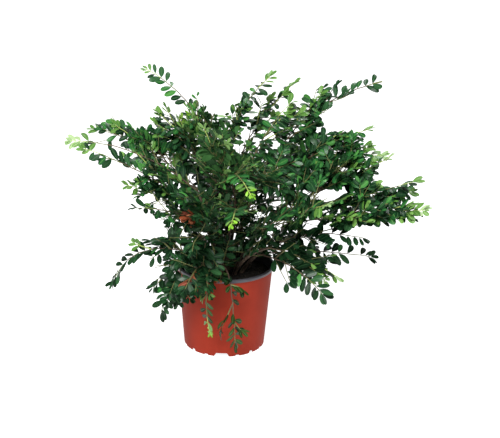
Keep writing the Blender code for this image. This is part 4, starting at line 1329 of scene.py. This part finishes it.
def pot_profile():
    """From the centre of the underside out, up the wall, over the rolled lip and down inside."""
    shoulder = POT_HEIGHT - LIP_DEPTH
    floor_top = FLOOR_UNDERSIDE + WALL
    profile = [
        (0, 0),
        (CENTRE_FOOT_RADIUS - POT_EDGE, 0),
        (CENTRE_FOOT_RADIUS, POT_EDGE),
        (CENTRE_FOOT_RADIUS + CENTRE_FOOT_SLOPE, FLOOR_UNDERSIDE),
        (inner_radius(FLOOR_UNDERSIDE), FLOOR_UNDERSIDE),
        (inner_radius(0) + POT_EDGE, 0),
        (BASE_RADIUS - POT_EDGE, 0),
        (BASE_RADIUS, POT_EDGE),
    ]
    for ring in range(1, WALL_RINGS + 1):
        height = POT_EDGE + (shoulder - WALL_END - POT_EDGE) * ring / WALL_RINGS
        profile.append((wall_radius(height), height))
    profile += [(radius, shoulder + above) for radius, above in LIP_UNDERSIDE]
    ledge = POT_HEIGHT - LIP_LEDGE_DROP
    profile += arc((LIP_RADIUS - LIP_ROUND, ledge - LIP_ROUND), LIP_ROUND, 0, 90, LIP_STEPS)
    bead_centre = inner_radius(POT_HEIGHT) + LIP_BEAD
    profile.append((bead_centre + LIP_BEAD + BEAD_FOOT[0], ledge - BEAD_FOOT[1]))
    profile += arc((bead_centre, POT_HEIGHT - LIP_BEAD), LIP_BEAD, 0, 180, 2 * LIP_STEPS)
    profile += [(inner_radius(height), height) for height in INSIDE_LEVELS]
    return profile + [(inner_radius(floor_top), floor_top), (0, floor_top)]


def foot_cutter(azimuth, top_width, bottom_width, height):
    """A trapezoid block through the pot's foot, wider at the floor."""
    below = -CUTTER_OVERRUN
    slope = (bottom_width - top_width) / height
    widths = ((below, bottom_width - slope * below), (height, top_width))
    vertices = []
    for radius in (CUT_INNER_RADIUS, CUT_OUTER_RADIUS):
        for level, width in widths:
            for side in (-0.5, 0.5):
                vertices.append((radius, side * width, level))
    faces = [(0, 1, 3, 2), (4, 6, 7, 5), (0, 4, 5, 1), (2, 3, 7, 6), (0, 2, 6, 4), (1, 5, 7, 3)]
    turn = math.radians(azimuth)
    turned_vertices = [
        (x * math.cos(turn) - y * math.sin(turn), x * math.sin(turn) + y * math.cos(turn), z)
        for x, y, z in vertices
    ]
    return turned_vertices, faces


def drain_cutter(azimuth):
    """A round plug through the pot's floor."""
    centre = polar(azimuth, DRAIN_CIRCLE, 0)
    vertices = []
    for level in (FLOOR_UNDERSIDE - CUTTER_OVERRUN, FLOOR_UNDERSIDE + WALL + CUTTER_OVERRUN):
        for step in range(DRAIN_SIDES):
            vertices.append(tuple(centre + polar(360 * step / DRAIN_SIDES, DRAIN_RADIUS, level)))
    faces = [tuple(reversed(range(DRAIN_SIDES))), tuple(range(DRAIN_SIDES, 2 * DRAIN_SIDES))]
    for step in range(DRAIN_SIDES):
        following = (step + 1) % DRAIN_SIDES
        faces.append((step, following, DRAIN_SIDES + following, DRAIN_SIDES + step))
    return vertices, faces


def make_cutter():
    """One helper object that holds every cut of the pot's foot and floor."""
    vertices, faces = [], []
    step = 360 / FOOT_CUTS
    for number in range(FOOT_CUTS):
        azimuth = FRONT_AZIMUTH + number * step
        cut = WIDE_CUT if number % WIDE_CUT_EVERY == 0 else NARROW_CUT
        blocks = (
            foot_cutter(azimuth, *cut),
            foot_cutter(azimuth + step / 2, *SHALLOW_CUT),
            drain_cutter(azimuth + step / 2),
        )
        for points, polygons in blocks:
            base = len(vertices)
            vertices += points
            faces += [tuple(base + index for index in polygon) for polygon in polygons]
    mesh = bpy.data.meshes.new("pot_cutter")
    mesh.from_pydata(vertices, [], faces)
    shape = bmesh.new()
    shape.from_mesh(mesh)
    bmesh.ops.recalc_face_normals(shape, faces=shape.faces)
    shape.to_mesh(mesh)
    shape.free()
    return linked("pot_cutter", mesh)


def make_pot():
    mesh = turned("nursery_pot", pot_profile(), POT_STEPS)
    materials = [
        surface_material("red_plastic_moulded", RED_PLASTIC),
        surface_material("dark_plastic_moulded", DARK_PLASTIC),
    ]
    pot = make_object("nursery_pot", mesh, materials, ["pot"])
    cut = pot.modifiers.new("foot_cuts", "BOOLEAN")
    cut.operation = "DIFFERENCE"
    cut.object = make_cutter()
    cut.solver = "EXACT"
    bpy.context.view_layer.update()
    graph = bpy.context.evaluated_depsgraph_get()
    mesh = bpy.data.meshes.new_from_object(pot.evaluated_get(graph))
    bpy.data.objects.remove(cut.object)
    pot.modifiers.clear()
    pot.data = mesh
    for face in mesh.polygons:
        x, y, height = face.center
        inside = math.hypot(x, y) < wall_radius(height) - 0.5 * WALL
        face.material_index = 1 if inside or height > DARK_FROM else 0
    mesh.shade_smooth()
    mesh.set_sharp_from_angle(angle=math.radians(POT_SMOOTH))


# Compost


def soil_height(x, y):
    """The compost's top at one place."""
    radius = math.hypot(x, y)
    edge = inner_radius(SOIL_TOP)
    drop = SOIL_EDGE_DROP * max(0, (radius - SOIL_FLAT_RADIUS) / (edge - SOIL_FLAT_RADIUS))
    rough = 0
    for scale, offset, share in SOIL_NOISE:
        rough += share * noise.noise(Vector((x * scale, y * scale, offset)))
    return SOIL_TOP - drop + SOIL_RELIEF * rough


def make_soil():
    gathered = Triangles()
    edge = inner_radius(SOIL_TOP) - CLEARANCE
    vertices = [(0, 0, soil_height(0, 0))]
    for ring in range(1, SOIL_RINGS + 1):
        radius = edge * ring / SOIL_RINGS
        for step in range(SOIL_STEPS):
            x, y, _ = polar(360 * step / SOIL_STEPS, radius, 0)
            vertices.append((x, y, soil_height(x, y)))
    for step in range(SOIL_STEPS):
        azimuth = 360 * step / SOIL_STEPS
        vertices.append(tuple(polar(azimuth, inner_radius(SOIL_BOTTOM) - CLEARANCE, SOIL_BOTTOM)))
    vertices.append((0, 0, SOIL_BOTTOM))
    faces = []
    for step in range(SOIL_STEPS):
        following = (step + 1) % SOIL_STEPS
        faces.append((0, 1 + step, 1 + following))
        for ring in range(SOIL_RINGS):
            low, high = 1 + ring * SOIL_STEPS, 1 + (ring + 1) * SOIL_STEPS
            faces.append((low + step, high + step, high + following))
            faces.append((low + step, high + following, low + following))
        bottom = 1 + SOIL_RINGS * SOIL_STEPS
        faces.append((len(vertices) - 1, bottom + following, bottom + step))
    gathered.add(vertices, faces, [0] * len(faces))
    add_clods(gathered, edge)
    mesh = gathered.mesh("compost", SOIL_SMOOTH)
    make_object("compost", mesh, [surface_material("moist_compost", COMPOST)], ["soil"])


def add_clods(gathered, edge):
    """Seeded crumbs and chips of bark that lie in the compost's top."""
    source = bmesh.new()
    bmesh.ops.create_icosphere(source, subdivisions=2, radius=1)
    source.verts.index_update()
    ball = np.array([vertex.co[:] for vertex in source.verts])
    faces = [tuple(vertex.index for vertex in face.verts) for face in source.faces]
    source.free()
    rng = np.random.default_rng(SOIL_SEED)
    for _ in range(CLODS):
        radius = (edge - CLOD_EDGE_ROOM) * math.sqrt(rng.random())
        azimuth = rng.uniform(0, 360)
        size = CLOD_SIZES[0] + (CLOD_SIZES[1] - CLOD_SIZES[0]) * rng.random() ** CLOD_SIZE_POWER
        stretch = np.array([rng.uniform(*spread) for spread in CLOD_STRETCH])
        lumps = 1 + CLOD_LUMPS * rng.standard_normal(len(ball))[:, None]
        turn = rng.uniform(0, 2 * math.pi)
        points = ball * lumps * stretch * size
        spun = points.copy()
        spun[:, 0] = math.cos(turn) * points[:, 0] - math.sin(turn) * points[:, 1]
        spun[:, 1] = math.sin(turn) * points[:, 0] + math.cos(turn) * points[:, 1]
        x, y, _ = polar(azimuth, radius, 0)
        centre = np.array([x, y, soil_height(x, y) + CLOD_LIFT * size])
        gathered.add(spun + centre, faces, [0] * len(faces))


# Materials


def noise_node(tree, scale, detail, stretch=(1, 1, 1)):
    """A noise texture in the piece's own coordinates."""
    coordinates = tree.nodes.new("ShaderNodeTexCoord")
    mapping = tree.nodes.new("ShaderNodeMapping")
    mapping.inputs["Scale"].default_value = stretch
    texture = tree.nodes.new("ShaderNodeTexNoise")
    texture.inputs["Scale"].default_value = scale
    texture.inputs["Detail"].default_value = detail
    tree.links.new(coordinates.outputs["Object"], mapping.inputs["Vector"])
    tree.links.new(mapping.outputs["Vector"], texture.inputs["Vector"])
    return texture


def surface_material(name, surface):
    """A mottled material with fine bumps."""
    material, tree, shader = new_material(name, surface.roughness, surface.specular)
    mottle = noise_node(tree, *surface.mottle)
    ramp = tree.nodes.new("ShaderNodeValToRGB")
    elements = ramp.color_ramp.elements
    elements.remove(elements[1])
    for number, (place, colour) in enumerate(surface.stops):
        element = elements[0] if number == 0 else elements.new(place)
        element.position = place
        element.color = (*colour, 1)
    tree.links.new(mottle.outputs["Fac"], ramp.inputs["Fac"])
    tree.links.new(ramp.outputs["Color"], shader.inputs["Base Color"])
    grain = noise_node(tree, *surface.grain) if surface.grain else mottle
    bump = tree.nodes.new("ShaderNodeBump")
    bump.inputs["Strength"].default_value = surface.strength
    bump.inputs["Distance"].default_value = surface.depth
    tree.links.new(grain.outputs["Fac"], bump.inputs["Height"])
    tree.links.new(bump.outputs["Normal"], shader.inputs["Normal"])
    return material


# Stage


def make_stage():
    scene = bpy.context.scene
    scene.view_settings.view_transform = "Standard"
    scene.world = bpy.data.worlds.new("studio")
    scene.world.use_nodes = True
    background = scene.world.node_tree.nodes["Background"]
    background.inputs["Color"].default_value = (1, 1, 1, 1)
    background.inputs["Strength"].default_value = WORLD_STRENGTH
    mesh = bpy.data.meshes.new("studio_floor")
    corners = ((-1, -1), (1, -1), (1, 1), (-1, 1))
    mesh.from_pydata([(x * FLOOR_HALF, y * FLOOR_HALF, 0) for x, y in corners], [], [(0, 1, 2, 3)])
    material = plain_material("pale_floor", FLOOR_COLOUR, FLOOR_GLOSS)
    shader = material.node_tree.nodes["Principled BSDF"]
    shader.inputs["Emission Color"].default_value = (1, 1, 1, 1)
    shader.inputs["Emission Strength"].default_value = FLOOR_GLOW
    mesh.materials.append(material)
    linked("studio_floor", mesh)
    for name, place, size, power in LIGHTS:
        light = bpy.data.lights.new(name, "AREA")
        light.shape = "DISK"
        light.size = size
        light.energy = power
        lamp = linked(name, light)
        lamp.location = place
        lamp.rotation_euler = (LIGHT_TARGET - Vector(place)).to_track_quat("-Z", "Y").to_euler()


def make_camera():
    data = bpy.data.cameras.new("photo_camera")
    data.sensor_fit = "HORIZONTAL"
    data.sensor_width = CAMERA_SENSOR
    data.lens = CAMERA_LENS
    camera = linked("photo_camera", data)
    pitch = Matrix.Rotation(math.radians(90 - CAMERA_PITCH), 4, "X")
    roll = Matrix.Rotation(math.radians(CAMERA_ROLL), 4, "Z")
    camera.matrix_world = Matrix.Translation(CAMERA_PLACE) @ pitch @ roll
    bpy.context.scene.camera = camera


def main():
    stems = {name: stem_points(Stem(*row)) for name, row in STEMS.items()}
    make_pot()
    make_soil()
    make_stems(stems)
    make_crown(stems)
    make_stage()
    make_camera()


main()
